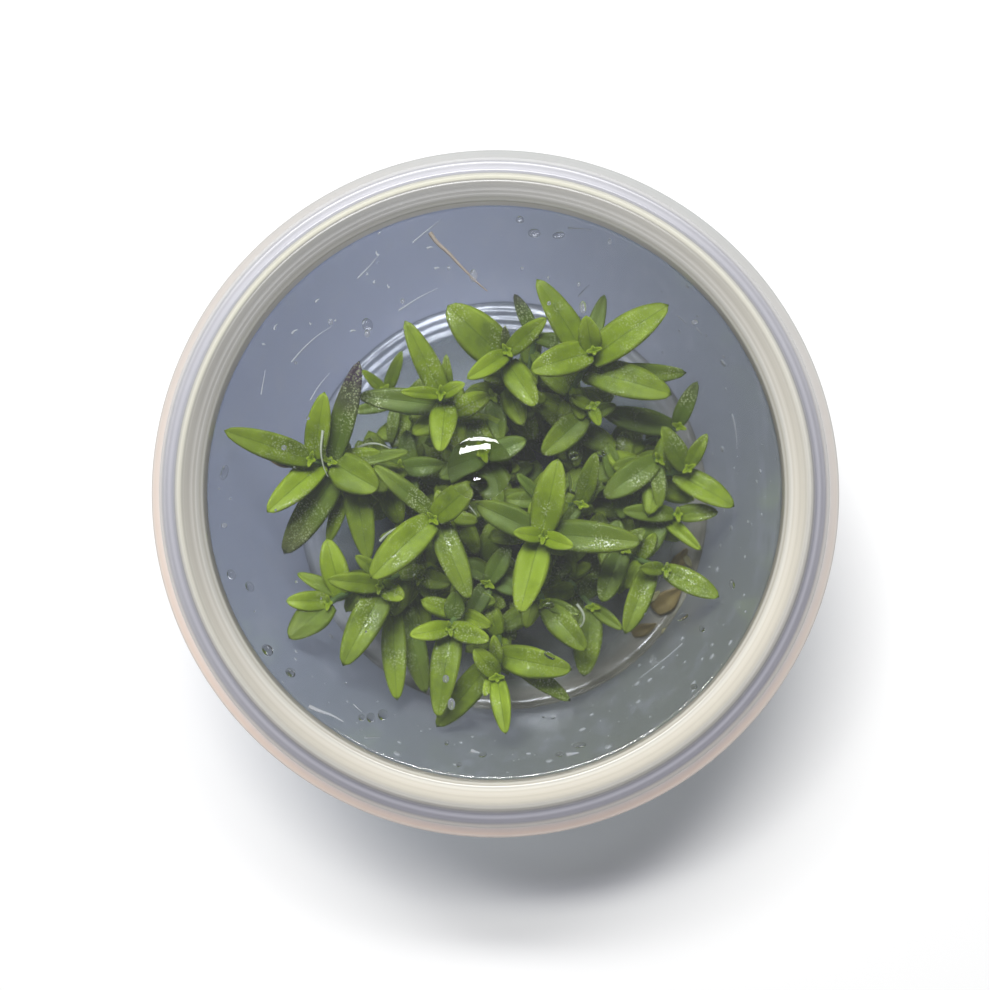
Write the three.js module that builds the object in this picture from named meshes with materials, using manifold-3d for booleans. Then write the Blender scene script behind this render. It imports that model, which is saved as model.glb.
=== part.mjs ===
// A lidded tissue culture cup of Bacopa salzmannii: a clear tapered cup, its push-on lid,
// a bed of nutrient gel, the young shoots that grow out of it and a few withered leaves.
// Millimetres, +Z up. The origin is at the centre of the cup's foot, on the surface it stands on.

import * as THREE from "three";
import { mergeVertices } from "three/addons/utils/BufferGeometryUtils.js";
import Module from "manifold-3d";

const wasm = await Module();
wasm.setup();

// Cup
const FOOT_RADIUS = 33.2;
const FOOT_WIDTH = 2.0;
const FLOOR_UNDERSIDE = 1.2;
const FLOOR_TOP = 2.4;
const FLOOR_RADIUS = 31.0;
const HEEL_TOP = 7.0;
const HEEL_INNER_RADIUS = 34.0;
const MOUTH_HEIGHT = 56.8;
const MOUTH_INNER_RADIUS = 42.3;
const WALL = 1.0;
const RIM_RADIUS = 46.0;
const RIM_DROP = 2.2;

// Lid
const LID_TOP = 60.0;
const LID_WALL = 0.9;
const PANEL_TOP = 56.4;
const PANEL_RADIUS = 40.5;
const PLUG_RADIUS = 41.6;
const RIDGE_INNER_RADIUS = 40.7;
const RIDGE_OUTER_RADIUS = 44.4;
const CHANNEL_TOP = 58.0;
const SKIRT_RADIUS = 47.4;
const FLANGE_RADIUS = 49.4;
const FLANGE_TOP = 52.8;
const SKIRT_BOTTOM = 51.2;

// Gel
const CLEARANCE = 0.3;
const GEL_TOP = 7.2;
const MENISCUS_HEIGHT = 9.2;
const MENISCUS_WIDTH = 1.6;

// Shoots
const STEM_RADIUS = 0.65;
const ROOT_DEPTH = 3.2;
const SOCKET_RADIUS = STEM_RADIUS + 2.5 * CLEARANCE;
const FOOT_PULL = 0.62;
const NODE_SPACING = 2.6;
const LEAF_THICKNESS = 0.6;
const LEAF_FOLD = 0.22;
const LEAF_BASE = 0.55;
const LEAF_WIDEST = 0.42;
const LEAF_BLUNTNESS = 0.55;
const LEAF_ARCH = 24;

const CUP_SIDES = 32;
const STEM_SIDES = 5;
const STEM_STEPS = 3;

// The crown of each shoot as [x, y, z], and its leaves from the top pair down as
// [turn, length, width, rise]: turn is anticlockwise from +X seen from above, and rise is
// the angle of the leaf's base-to-tip line above level.
const SHOOTS = {
  shoot_left_1: {
    crown: [-27.7, 5.5, 43],
    leaves: [[163, 14.6, 3.9, 28], [76, 11.1, 3.5, 25], [223, 11.9, 4.0, 20], [175, 8.2, 2.6, -10]],
  },
  shoot_left_2: {
    crown: [-25.1, 5.3, 41],
    leaves: [[72, 16.4, 3.5, 20], [328, 8.4, 5.4, 10], [12, 10.5, 2.1, 5], [236, 16.8, 4.6, -10],
      [280, 14.6, 4.0, -5], [251, 12.9, 2.5, -15]],
  },
  shoot_left_3: {
    crown: [-8.3, 15.2, 44],
    leaves: [[177, 7.2, 1.9, 35], [23, 5.1, 2.1, 40], [116, 13.8, 3.5, 20], [268, 8.8, 4.0, 25],
      [172, 13.9, 3.6, 5], [93, 9.2, 1.9, 35]],
  },
  shoot_left_4: {
    crown: [-18.3, 17.3, 27],
    leaves: [[138, 5.7, 1.7, 30], [64, 7.6, 2.0, 25], [193, 7.5, 1.9, 5], [260, 6.7, 1.9, 0]],
  },
  shoot_left_5: {
    crown: [-26.0, -16.0, 36],
    leaves: [[177, 7.0, 3.0, 20], [224, 8.6, 4.7, 14], [152, 7.8, 2.2, 5], [106, 9.2, 4.0, 10]],
  },
  shoot_left_6: {
    crown: [-17.8, -13.5, 39],
    leaves: [[171, 8.5, 3.0, 20], [333, 4.5, 3.0, 25], [240, 14.9, 4.8, 10], [140, 6.8, 2.4, 20]],
  },
  shoot_back_1: {
    crown: [1.5, 21.6, 43],
    leaves: [[218, 8.4, 2.6, 30], [38, 8.8, 2.3, 30], [138, 12.5, 5.2, 15], [302, 8.5, 4.0, 15],
      [89, 9.3, 1.8, 50]],
  },
  shoot_back_2: {
    crown: [14.4, 21.7, 43],
    leaves: [[105, 6.7, 2.4, 40], [196, 10.5, 4.0, 20], [35, 14.9, 4.5, 12], [122, 14.7, 3.6, 15],
      [345, 14.1, 4.5, 5], [75, 12.2, 2.6, -5], [3, 17.0, 3.4, -8]],
  },
  shoot_back_3: {
    crown: [5.6, 26.0, 28],
    leaves: [[114, 7.6, 2.2, 10], [347, 8.9, 2.5, 10], [304, 5.5, 1.9, 20]],
  },
  shoot_right_1: {
    crown: [28.2, 11.6, 27],
    leaves: [[68, 8.6, 2.6, 25], [169, 12.3, 3.8, 5], [289, 4.3, 2.1, 10]],
  },
  shoot_right_2: {
    crown: [29.2, 4.6, 34],
    leaves: [[124, 8.3, 3.3, 25], [62, 6.8, 2.3, 25], [332, 11.0, 4.0, 5], [112, 4.8, 1.8, 30]],
  },
  shoot_right_3: {
    crown: [24.9, 6.2, 31],
    leaves: [[214, 10.3, 4.3, 5], [275, 7.5, 2.3, 0], [185, 5.2, 2.8, 0]],
  },
  shoot_right_4: {
    crown: [28.0, -2.3, 28],
    leaves: [[5, 6.9, 2.8, 10], [176, 8.8, 2.8, 15], [249, 8.0, 3.8, 5], [317, 8.9, 2.2, 15]],
  },
  shoot_right_5: {
    crown: [25.9, -11.0, 32],
    leaves: [[176, 4.3, 2.2, 25], [333, 9.7, 3.5, 10], [248, 11.8, 3.7, 6]],
  },
  shoot_middle_1: {
    crown: [6.9, -6.1, 46],
    leaves: [[173, 5.4, 2.3, 35], [340, 5.8, 2.5, 35], [76, 12.0, 4.6, 15], [254, 12.3, 4.7, 10],
      [357, 15.7, 4.6, 10], [153, 10.7, 4.1, 0]],
  },
  shoot_middle_2: {
    crown: [-9.5, -3.4, 44],
    leaves: [[39, 8.7, 4.1, 20], [222, 13.1, 5.0, 10], [139, 12.6, 2.8, 10], [290, 13.2, 4.0, 5],
      [200, 10.3, 1.5, 20]],
  },
  shoot_middle_3: {
    crown: [12.6, -1.1, 38],
    leaves: [[71, 9.4, 2.8, 30], [228, 5.1, 2.0, 10], [39, 6.2, 2.4, 30]],
  },
  shoot_middle_4: {
    crown: [6.8, -0.2, 34],
    leaves: [[181, 5.8, 2.6, 5], [133, 6.0, 1.8, 20], [32, 5.9, 2.3, 10]],
  },
  shoot_middle_5: {
    crown: [-1.0, 16.1, 30],
    leaves: [[207, 6.8, 5.5, 0], [278, 7.2, 3.1, 10], [351, 6.7, 3.1, 10]],
  },
  shoot_middle_6: {
    crown: [14.5, 14.2, 34],
    leaves: [[294, 4.6, 1.8, 45], [155, 4.3, 1.8, 20], [224, 9.3, 4.3, 5], [15, 5.3, 2.3, 20]],
  },
  shoot_middle_7: {
    crown: [-2.6, 6.4, 33],
    leaves: [[204, 7.5, 3.4, 10], [22, 7.5, 3.4, 8], [112, 6.5, 3.0, 10], [290, 7.5, 3.2, 6]],
  },
  shoot_middle_8: {
    crown: [-15.5, 5.0, 31],
    leaves: [[170, 5.2, 2.9, 10], [2, 7.0, 3.0, 5], [94, 6.5, 2.9, 8], [272, 6.0, 2.8, 4]],
  },
  shoot_middle_9: {
    crown: [-1.8, -13.2, 30],
    leaves: [[62, 7.0, 3.1, 8], [240, 6.5, 3.0, 8], [152, 6.0, 2.8, 4], [334, 6.5, 2.8, 6]],
  },
  shoot_middle_10: {
    crown: [18.6, 3.4, 27],
    leaves: [[104, 6.0, 2.8, 10], [282, 6.5, 2.8, 4], [192, 6.0, 2.8, 6]],
  },
  shoot_front_1: {
    crown: [-12.3, -12.2, 33],
    leaves: [[349, 5.1, 2.9, 15], [162, 3.5, 1.9, 0], [277, 4.6, 3.4, 0]],
  },
  shoot_front_2: {
    crown: [-7.2, -19.8, 40],
    leaves: [[193, 6.8, 2.8, 25], [342, 7.0, 3.0, 25], [259, 15.2, 4.2, 5], [84, 4.8, 3.0, 20]],
  },
  shoot_front_3: {
    crown: [-0.2, -27.3, 38],
    leaves: [[280, 9.2, 2.9, 15], [130, 6.1, 3.0, 25], [99, 5.8, 2.1, 35], [249, 5.9, 2.0, 30],
      [348, 11.9, 4.6, 10], [229, 15.3, 4.2, -10], [321, 14.6, 3.0, -10]],
  },
  shoot_front_4: {
    crown: [-16.9, -17.4, 29],
    leaves: [[271, 14.4, 3.7, 5], [40, 6.0, 2.0, 15], [283, 15.3, 3.8, -5]],
  },
  shoot_front_5: {
    crown: [6.9, -16.1, 34],
    leaves: [[310, 10.2, 4.0, 10], [344, 6.2, 2.1, 15], [163, 5.1, 2.2, 30]],
  },
  shoot_front_6: {
    crown: [14.6, -16.9, 27],
    leaves: [[264, 11.3, 4.3, 0], [324, 6.6, 2.0, 20], [63, 4.5, 3.2, 20]],
  },
  shoot_front_7: {
    crown: [19.4, -7.8, 30],
    leaves: [[247, 9.0, 4.0, 6], [39, 4.8, 2.5, 8], [80, 4.2, 3.0, 8]],
  },
};

// Withered leaves lie loose on the gel, as [base, leaf], with the leaf given as above.
const WITHERED_LEAVES = [
  [[25.2, -17.8, 8.0], [40, 6.3, 3.6, 8]],
  [[21.5, -21.6, 8.0], [20, 4.6, 2.2, 8]],
  [[28.5, -11.0, 8.0], [60, 4.5, 2.4, 12]],
];

// Solids are joined and cut as manifolds, then turned back into geometries.
function toSolid(geometry) {
  const bare = geometry.clone();
  bare.deleteAttribute("normal");
  bare.deleteAttribute("uv");
  const merged = mergeVertices(bare, 1e-4);
  const mesh = new wasm.Mesh({
    numProp: 3,
    vertProperties: new Float32Array(merged.attributes.position.array),
    triVerts: new Uint32Array(merged.index.array),
  });
  return new wasm.Manifold(mesh);
}

function toGeometry(solid) {
  const mesh = solid.getMesh();
  const geometry = new THREE.BufferGeometry();
  geometry.setAttribute("position", new THREE.BufferAttribute(mesh.vertProperties, 3));
  geometry.setIndex(new THREE.BufferAttribute(mesh.triVerts, 1));
  return geometry;
}

// A LatheGeometry turns about Y, so it is tipped up to turn about Z. The outline is listed
// anticlockwise, from the axis outwards along the underside and back along the top.
function turned(outline) {
  const points = outline.map(([radius, height]) => new THREE.Vector2(radius, height));
  const geometry = new THREE.LatheGeometry(points, CUP_SIDES);
  geometry.rotateX(Math.PI / 2);
  return geometry;
}

function wallRadius(height) {
  const share = (height - HEEL_TOP) / (MOUTH_HEIGHT - HEEL_TOP);
  return HEEL_INNER_RADIUS + share * (MOUTH_INNER_RADIUS - HEEL_INNER_RADIUS);
}

// Cup: a raised floor on a foot ring, a rounded heel, a tapered wall and a turned-down rim.
function cup() {
  const rimUnderside = MOUTH_HEIGHT - WALL;
  return turned([
    [0, FLOOR_UNDERSIDE],
    [FOOT_RADIUS - FOOT_WIDTH - 0.8, FLOOR_UNDERSIDE],
    [FOOT_RADIUS - FOOT_WIDTH, 0],
    [FOOT_RADIUS - 0.6, 0],
    [FOOT_RADIUS, 0.5],
    [HEEL_INNER_RADIUS + 0.4, 2.6],
    [wallRadius(HEEL_TOP) + WALL, HEEL_TOP],
    [wallRadius(rimUnderside) + WALL, rimUnderside],
    [RIM_RADIUS - WALL, rimUnderside],
    [RIM_RADIUS - WALL + 0.1, MOUTH_HEIGHT - RIM_DROP],
    [RIM_RADIUS, MOUTH_HEIGHT - RIM_DROP],
    [RIM_RADIUS, MOUTH_HEIGHT - 0.5],
    [RIM_RADIUS - 0.5, MOUTH_HEIGHT],
    [MOUTH_INNER_RADIUS, MOUTH_HEIGHT],
    [HEEL_INNER_RADIUS, HEEL_TOP],
    [HEEL_INNER_RADIUS - 0.7, 4.3],
    [HEEL_INNER_RADIUS - 1.7, 2.9],
    [FLOOR_RADIUS, FLOOR_TOP],
    [0, FLOOR_TOP],
  ]);
}

// Lid: a sunken panel, a hollow ridge round it, a channel, and a skirt with a flange that
// hooks under the cup's rim.
function lid() {
  const skirtInside = RIM_RADIUS + 0.5;
  return turned([
    [0, PANEL_TOP - LID_WALL],
    [PANEL_RADIUS + 0.3, PANEL_TOP - LID_WALL],
    [PLUG_RADIUS, PANEL_TOP - 0.1],
    [RIDGE_INNER_RADIUS + 0.9, LID_TOP - LID_WALL],
    [RIDGE_OUTER_RADIUS - 1.0, LID_TOP - LID_WALL],
    [RIDGE_OUTER_RADIUS - 0.5, CHANNEL_TOP - LID_WALL],
    [skirtInside - 0.4, CHANNEL_TOP - LID_WALL],
    [skirtInside, CHANNEL_TOP - 1.4],
    [skirtInside, FLANGE_TOP + 0.9],
    [RIM_RADIUS - 0.1, FLANGE_TOP],
    [skirtInside, SKIRT_BOTTOM],
    [FLANGE_RADIUS, SKIRT_BOTTOM],
    [FLANGE_RADIUS, FLANGE_TOP],
    [SKIRT_RADIUS + 0.3, FLANGE_TOP + 0.4],
    [SKIRT_RADIUS, CHANNEL_TOP - 0.9],
    [SKIRT_RADIUS - 0.7, CHANNEL_TOP - 0.1],
    [RIDGE_OUTER_RADIUS + 0.4, CHANNEL_TOP],
    [RIDGE_OUTER_RADIUS, LID_TOP - 0.6],
    [RIDGE_OUTER_RADIUS - 0.7, LID_TOP],
    [RIDGE_INNER_RADIUS + 0.4, LID_TOP],
    [RIDGE_INNER_RADIUS, LID_TOP - 0.4],
    [PANEL_RADIUS + 0.1, PANEL_TOP + 0.4],
    [PANEL_RADIUS, PANEL_TOP],
    [0, PANEL_TOP],
  ]);
}

// Gel: it fills the bottom of the cup and climbs the wall in a thin meniscus. Each stem
// stands in a hole of its own.
function gelBed() {
  const bed = turned([
    [0, FLOOR_TOP + CLEARANCE],
    [FLOOR_RADIUS - CLEARANCE, FLOOR_TOP + CLEARANCE],
    [HEEL_INNER_RADIUS - 1.9, 3.3],
    [HEEL_INNER_RADIUS - 1.0, 4.6],
    [HEEL_INNER_RADIUS - CLEARANCE, HEEL_TOP],
    [wallRadius(MENISCUS_HEIGHT) - CLEARANCE, MENISCUS_HEIGHT],
    [HEEL_INNER_RADIUS - MENISCUS_WIDTH, GEL_TOP + 0.3],
    [HEEL_INNER_RADIUS - 2 * MENISCUS_WIDTH, GEL_TOP],
    [0, GEL_TOP],
  ]);
  let solid = toSolid(bed);
  for (const { crown } of Object.values(SHOOTS)) {
    const socket = new THREE.CylinderGeometry(SOCKET_RADIUS, SOCKET_RADIUS, 2 * ROOT_DEPTH, STEM_SIDES);
    socket.rotateX(Math.PI / 2);
    socket.translate(crown[0] * FOOT_PULL, crown[1] * FOOT_PULL, GEL_TOP + CLEARANCE);
    solid = solid.subtract(toSolid(socket));
  }
  return toGeometry(solid);
}

// A stem rises from the gel and leans out to its crown.
function stemCurve(crown) {
  const [x, y, top] = crown;
  const bottom = GEL_TOP - ROOT_DEPTH + 2 * CLEARANCE;
  const foot = new THREE.Vector3(x * FOOT_PULL, y * FOOT_PULL, bottom);
  const knee = new THREE.Vector3(x * FOOT_PULL, y * FOOT_PULL, bottom + 0.5 * (top - bottom));
  return new THREE.QuadraticBezierCurve3(foot, knee, new THREE.Vector3(x, y, top));
}

function stem(curve) {
  const section = new THREE.Shape(
    Array.from({ length: STEM_SIDES }, (_, side) => {
      const angle = (2 * Math.PI * side) / STEM_SIDES;
      return new THREE.Vector2(STEM_RADIUS * Math.cos(angle), STEM_RADIUS * Math.sin(angle));
    }),
  );
  return new THREE.ExtrudeGeometry(section, {
    steps: STEM_STEPS,
    extrudePath: curve,
    bevelEnabled: false,
  });
}

// How full a leaf is along its length: it clasps the stem with a broad base, is widest
// before its middle and ends bluntly.
function leafFullness(along) {
  if (along < LEAF_WIDEST) {
    return LEAF_BASE + (1 - LEAF_BASE) * Math.sin((0.5 * Math.PI * along) / LEAF_WIDEST);
  }
  const taper = (0.5 * Math.PI * (along - LEAF_WIDEST)) / (1 - LEAF_WIDEST);
  return Math.cos(taper) ** LEAF_BLUNTNESS;
}

// A leaf is a thin lens, bent down in an arc along its length and folded up a little on each
// side of the midrib.
function leaf(base, [turn, length, width, rise]) {
  const geometry = new THREE.SphereGeometry(1, 4, 4);
  const position = geometry.attributes.position;
  const heading = THREE.MathUtils.degToRad(turn);
  const outward = new THREE.Vector3(Math.cos(heading), Math.sin(heading), 0);
  const up = new THREE.Vector3(0, 0, 1);
  const arch = THREE.MathUtils.degToRad(LEAF_ARCH);
  const start = THREE.MathUtils.degToRad(rise) + arch / 2;
  for (let i = 0; i < position.count; i += 1) {
    const polar = Math.acos(THREE.MathUtils.clamp(position.getY(i), -1, 1));
    const along = polar / Math.PI;
    const swell = Math.sin(polar) > 1e-6 ? 1 / Math.sin(polar) : 0;
    const across = position.getX(i) * swell;
    const through = position.getZ(i) * swell;
    const fullness = leafFullness(Math.min(along, 0.999));
    const slope = start - arch * along;
    const reach = (length / arch) * (Math.sin(start) - Math.sin(slope));
    const climb = (length / arch) * (Math.cos(slope) - Math.cos(start));
    const tangent = outward.clone().multiplyScalar(Math.cos(slope)).addScaledVector(up, Math.sin(slope));
    const upper = outward.clone().multiplyScalar(-Math.sin(slope)).addScaledVector(up, Math.cos(slope));
    const side = new THREE.Vector3().crossVectors(upper, tangent);
    const halfWidth = 0.5 * width * fullness;
    const point = base.clone().addScaledVector(outward, reach).addScaledVector(up, climb);
    point.addScaledVector(side, across * halfWidth);
    point.addScaledVector(upper, 0.5 * LEAF_THICKNESS * fullness * through);
    point.addScaledVector(upper, LEAF_FOLD * halfWidth * Math.abs(across));
    position.setXYZ(i, point.x, point.y, point.z);
  }
  return geometry;
}

// Leaves stand in opposite pairs, each pair a node lower on the stem than the last.
function shoot({ crown, leaves }) {
  const curve = stemCurve(crown);
  let solid = toSolid(stem(curve));
  leaves.forEach((shape, order) => {
    const drop = Math.floor(order / 2) * NODE_SPACING + STEM_RADIUS;
    const base = curve.getPointAt(1 - drop / curve.getLength());
    solid = solid.add(toSolid(leaf(base, shape)));
  });
  return toGeometry(solid);
}

const finishes = {
  cup: new THREE.MeshStandardMaterial({ color: 0x9fa9bd, roughness: 0.18, metalness: 0 }),
  lid: new THREE.MeshStandardMaterial({ color: 0xd9d9dc, roughness: 0.2, metalness: 0 }),
  gel: new THREE.MeshStandardMaterial({ color: 0xaeb6b4, roughness: 0.1, metalness: 0 }),
  shoot: new THREE.MeshStandardMaterial({ color: 0x6f9636, roughness: 0.42, metalness: 0 }),
  withered: new THREE.MeshStandardMaterial({ color: 0x6b4d33, roughness: 0.6, metalness: 0 }),
};

const part = new THREE.Group();

function place(name, geometry, material) {
  const mesh = new THREE.Mesh(geometry, material);
  mesh.name = name;
  part.add(mesh);
}

place("cup", cup(), finishes.cup);
place("lid", lid(), finishes.lid);
place("nutrient_gel", gelBed(), finishes.gel);
for (const [name, growth] of Object.entries(SHOOTS)) {
  place(name, shoot(growth), finishes.shoot);
}
WITHERED_LEAVES.forEach(([base, shape], order) => {
  place(`withered_leaf_${order + 1}`, leaf(new THREE.Vector3(...base), shape), finishes.withered);
});

export default part;
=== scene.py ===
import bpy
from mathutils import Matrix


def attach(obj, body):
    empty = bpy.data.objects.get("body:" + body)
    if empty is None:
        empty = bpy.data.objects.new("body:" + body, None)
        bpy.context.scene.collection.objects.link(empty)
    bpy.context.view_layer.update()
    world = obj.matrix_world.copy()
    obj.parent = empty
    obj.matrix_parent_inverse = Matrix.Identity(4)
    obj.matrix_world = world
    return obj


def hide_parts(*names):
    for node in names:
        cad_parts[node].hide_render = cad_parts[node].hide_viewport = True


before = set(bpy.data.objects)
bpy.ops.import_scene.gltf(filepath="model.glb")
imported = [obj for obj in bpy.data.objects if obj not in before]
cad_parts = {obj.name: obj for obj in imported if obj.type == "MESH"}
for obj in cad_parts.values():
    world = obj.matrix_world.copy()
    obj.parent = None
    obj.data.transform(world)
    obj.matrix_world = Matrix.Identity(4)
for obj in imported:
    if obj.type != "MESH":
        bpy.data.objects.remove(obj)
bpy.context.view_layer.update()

import math
import random

import bmesh
import bpy
from mathutils import Matrix, Quaternion, Vector

# Cup
# A thin clear plastic tub, moulded in one piece. Its blue-grey cast is partly the plastic's own
# tint and partly a painted reflection of a bluish backdrop, and it is painted lighter and bluer
# at the upper left and darker and yellower at the lower right, as painted light and shade. It
# stands on a foot ring, and its wall leans out to a turned-down rim that the lid clips over. It
# is turned about the upright axis from one closed outline.
MM = 0.001
UNDERSIDE = 1.2
FLOOR_TOP = 2.4
FOOT_INNER_RADIUS = 31.2
FOOT_RADIUS = 33.2
HEEL_TOP = 7.0
HEEL_INNER_RADIUS = 34.0
MOUTH_HEIGHT = 56.8
MOUTH_INNER_RADIUS = 42.3
WALL_SLOPE = (MOUTH_INNER_RADIUS - HEEL_INNER_RADIUS) / (MOUTH_HEIGHT - HEEL_TOP)
RIM_RADIUS = 46.0
RIM_DEPTH = 2.2
CUP_WALL = 1.0
TURNED_SIDES = 240
CORNER_STEPS = 3
LONG_STRAIGHT = 0.9
STRAIGHT_MARGIN = 0.1


def wall_radius(height):
    return HEEL_INNER_RADIUS + (height - HEEL_TOP) * WALL_SLOPE


def softened(outline, fillet):
    """The outline with each corner off the axis rounded by a short curve, and a point close to
    both ends of each long straight, which keeps the straight flat under smooth shading."""
    corners = [Vector(point) for point in outline]
    soft = [corners[0]]
    for before, corner, after in zip(corners, corners[1:], corners[2:]):
        into, out = before - corner, after - corner
        start = corner + into.normalized() * min(fillet, 0.45 * into.length)
        end = corner + out.normalized() * min(fillet, 0.45 * out.length)
        for step in range(CORNER_STEPS + 1):
            share = step / CORNER_STEPS
            soft.append(start * (1 - share) ** 2 + corner * 2 * share * (1 - share) + end * share**2)
    soft.append(corners[-1])
    held = [soft[0]]
    for first, second in zip(soft, soft[1:]):
        if (second - first).length > LONG_STRAIGHT:
            margin = (second - first).normalized() * STRAIGHT_MARGIN
            held += [first + margin, second - margin]
        held.append(second)
    return held


def around(radius, angle, height):
    """The point at a radius and angle about the upright axis, in the units given."""
    return Vector((radius * math.cos(angle), radius * math.sin(angle), height))


def join_rings(shell, first, second):
    """A smooth band of faces between two rings of vertices, either of which may be one point."""
    count = max(len(first), len(second))
    for side in range(count):
        following = (side + 1) % count
        corners = [
            first[side % len(first)],
            first[following % len(first)],
            second[following % len(second)],
            second[side % len(second)],
        ]
        face = shell.faces.new(list(dict.fromkeys(corners)))
        face.smooth = True


def plain_object(name, mesh, *materials):
    for material in materials:
        mesh.materials.append(material)
    piece = bpy.data.objects.new(name, mesh)
    bpy.context.collection.objects.link(piece)
    return piece


def closed_object(name, shell, *materials):
    bmesh.ops.recalc_face_normals(shell, faces=shell.faces)
    mesh = bpy.data.meshes.new(name)
    shell.to_mesh(mesh)
    shell.free()
    return plain_object(name, mesh, *materials)


def turned(name, outline, fillet, *materials):
    """A solid turned about Z from an outline in millimetres that starts and ends on the axis."""
    shell = bmesh.new()
    rings = []
    for radius, height in softened(outline, fillet):
        sides = TURNED_SIDES if radius > 1e-6 else 1
        angles = [2 * math.pi * side / sides for side in range(sides)]
        rings.append([shell.verts.new(around(radius * MM, angle, height * MM)) for angle in angles])
    for lower, upper in zip(rings, rings[1:]):
        join_rings(shell, lower, upper)
    return closed_object(name, shell, *materials)


def linear(code):
    """A colour written as six hex digits, as linear red, green, blue and alpha."""
    parts = [int(code[i : i + 2], 16) / 255 for i in (0, 2, 4)]
    return [p / 12.92 if p <= 0.04045 else ((p + 0.055) / 1.055) ** 2.4 for p in parts] + [1.0]


class Signal:
    """One output socket of a tree's nodes, which adds and multiplies as a number does."""

    def __init__(self, tree, socket=None):
        self.tree = tree
        self.socket = socket

    def node(self, kind, settings=None, inputs=None, output=0):
        made = self.tree.nodes.new(kind)
        for name, value in (settings or {}).items():
            if name == "stops":
                ramp = made.color_ramp.elements
                while len(ramp) < len(value):
                    ramp.new(0.5)
                for stop, (place, colour) in zip(ramp, value):
                    stop.position = place
                    stop.color = colour
            else:
                setattr(made, name, value)
        for name, value in (inputs or {}).items():
            if isinstance(value, Signal):
                self.tree.links.new(value.socket, made.inputs[name])
            else:
                made.inputs[name].default_value = value
        return Signal(self.tree, made.outputs[output]) if made.outputs else None

    def maths(self, operation, first, second=0.0, clamp=False):
        settings = {"operation": operation, "use_clamp": clamp}
        return self.node("ShaderNodeMath", settings, {0: first, 1: second})

    def __add__(self, other):
        return self.maths("ADD", self, other)

    __radd__ = __add__

    def __mul__(self, other):
        return self.maths("MULTIPLY", self, other)

    __rmul__ = __mul__

    def __sub__(self, other):
        return self.maths("SUBTRACT", self, other)

    def __rsub__(self, other):
        return self.maths("SUBTRACT", other, self)

    def clamped(self):
        return self.maths("ADD", self, 0.0, clamp=True)

    def blend(self, first, second):
        """first where this signal is 0, second where it is 1, both colours."""
        settings = {"data_type": "RGBA"}
        return self.node("ShaderNodeMix", settings, {0: self, 6: first, 7: second}, output=2)

    def sockets(self):
        """Every output of the node that this signal comes from, by name."""
        return {socket.name: Signal(self.tree, socket) for socket in self.socket.node.outputs}

    def split(self):
        """The X, Y and Z of this place."""
        parts = self.node("ShaderNodeSeparateXYZ", inputs={0: self}).sockets()
        return parts["X"], parts["Y"], parts["Z"]

    def from_axis(self):
        """How far this place is from the upright axis."""
        flat = self.node("ShaderNodeVectorMath", {"operation": "MULTIPLY"}, {0: self, 1: (1, 1, 0)})
        return self.node("ShaderNodeVectorMath", {"operation": "LENGTH"}, {0: flat}, output="Value")


def new_material(name):
    """A new material, the bench on which its nodes are made, and the place on the object."""
    material = bpy.data.materials.new(name)
    material.use_nodes = True
    material.node_tree.nodes.clear()
    bench = Signal(material.node_tree)
    return material, bench, bench.node("ShaderNodeTexCoord", output="Object")


def close_material(bench, surface):
    bench.node("ShaderNodeOutputMaterial", inputs={"Surface": surface})


def tinted(bench, tint):
    return bench.node("ShaderNodeBsdfTransparent", inputs={"Color": tint})


def lit_through(bench, surface, clear):
    """Lamps shine through the surface with only a tint, as they do through a thin clear wall."""
    lamp = bench.node("ShaderNodeLightPath", output="Is Shadow Ray")
    return bench.node("ShaderNodeMixShader", inputs={0: lamp, 1: surface, 2: clear})


def glowing(bench, surface, share, colour):
    """A share of the light soaks through a thin milky wall and comes out on its other side."""
    soaked = bench.node("ShaderNodeBsdfTranslucent", inputs={"Color": colour})
    return bench.node("ShaderNodeMixShader", inputs={0: share, 1: surface, 2: soaked})


def noise(bench, place, scale, detail=2.0, roughness=0.5):
    inputs = {"Vector": place, "Scale": scale, "Detail": detail, "Roughness": roughness}
    return bench.node("ShaderNodeTexNoise", inputs=inputs)


def principled(bench, inputs):
    return bench.node("ShaderNodeBsdfPrincipled", inputs=inputs)


def bumpy(bench, height, strength, distance):
    inputs = {"Strength": strength, "Distance": distance, "Height": height}
    return bench.node("ShaderNodeBump", inputs=inputs)


def lower_right(place, spread):
    """A mask that grows from 0 at the upper left of the cup to 1 at the lower right."""
    across, away, _ = place.split()
    return (0.5 + across * spread - away * spread).clamped()


# Painted light and shade: the wall's colour at the upper left and at the lower right.
CUP_UPPER_LEFT_PAINTED_LIGHT = linear("dfe7ff")
CUP_LOWER_RIGHT_PAINTED_SHADE = linear("aeb084")
CUP_GLOW = linear("dfe4f2")
CUP_FAR_TINT = linear("dcdee0")
CUP_NEAR_TINT = linear("a0a2a3")
PLASTIC_IOR = 1.49
SMEAR_STRETCH = (1.6, 0.35, 0.5)


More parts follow.
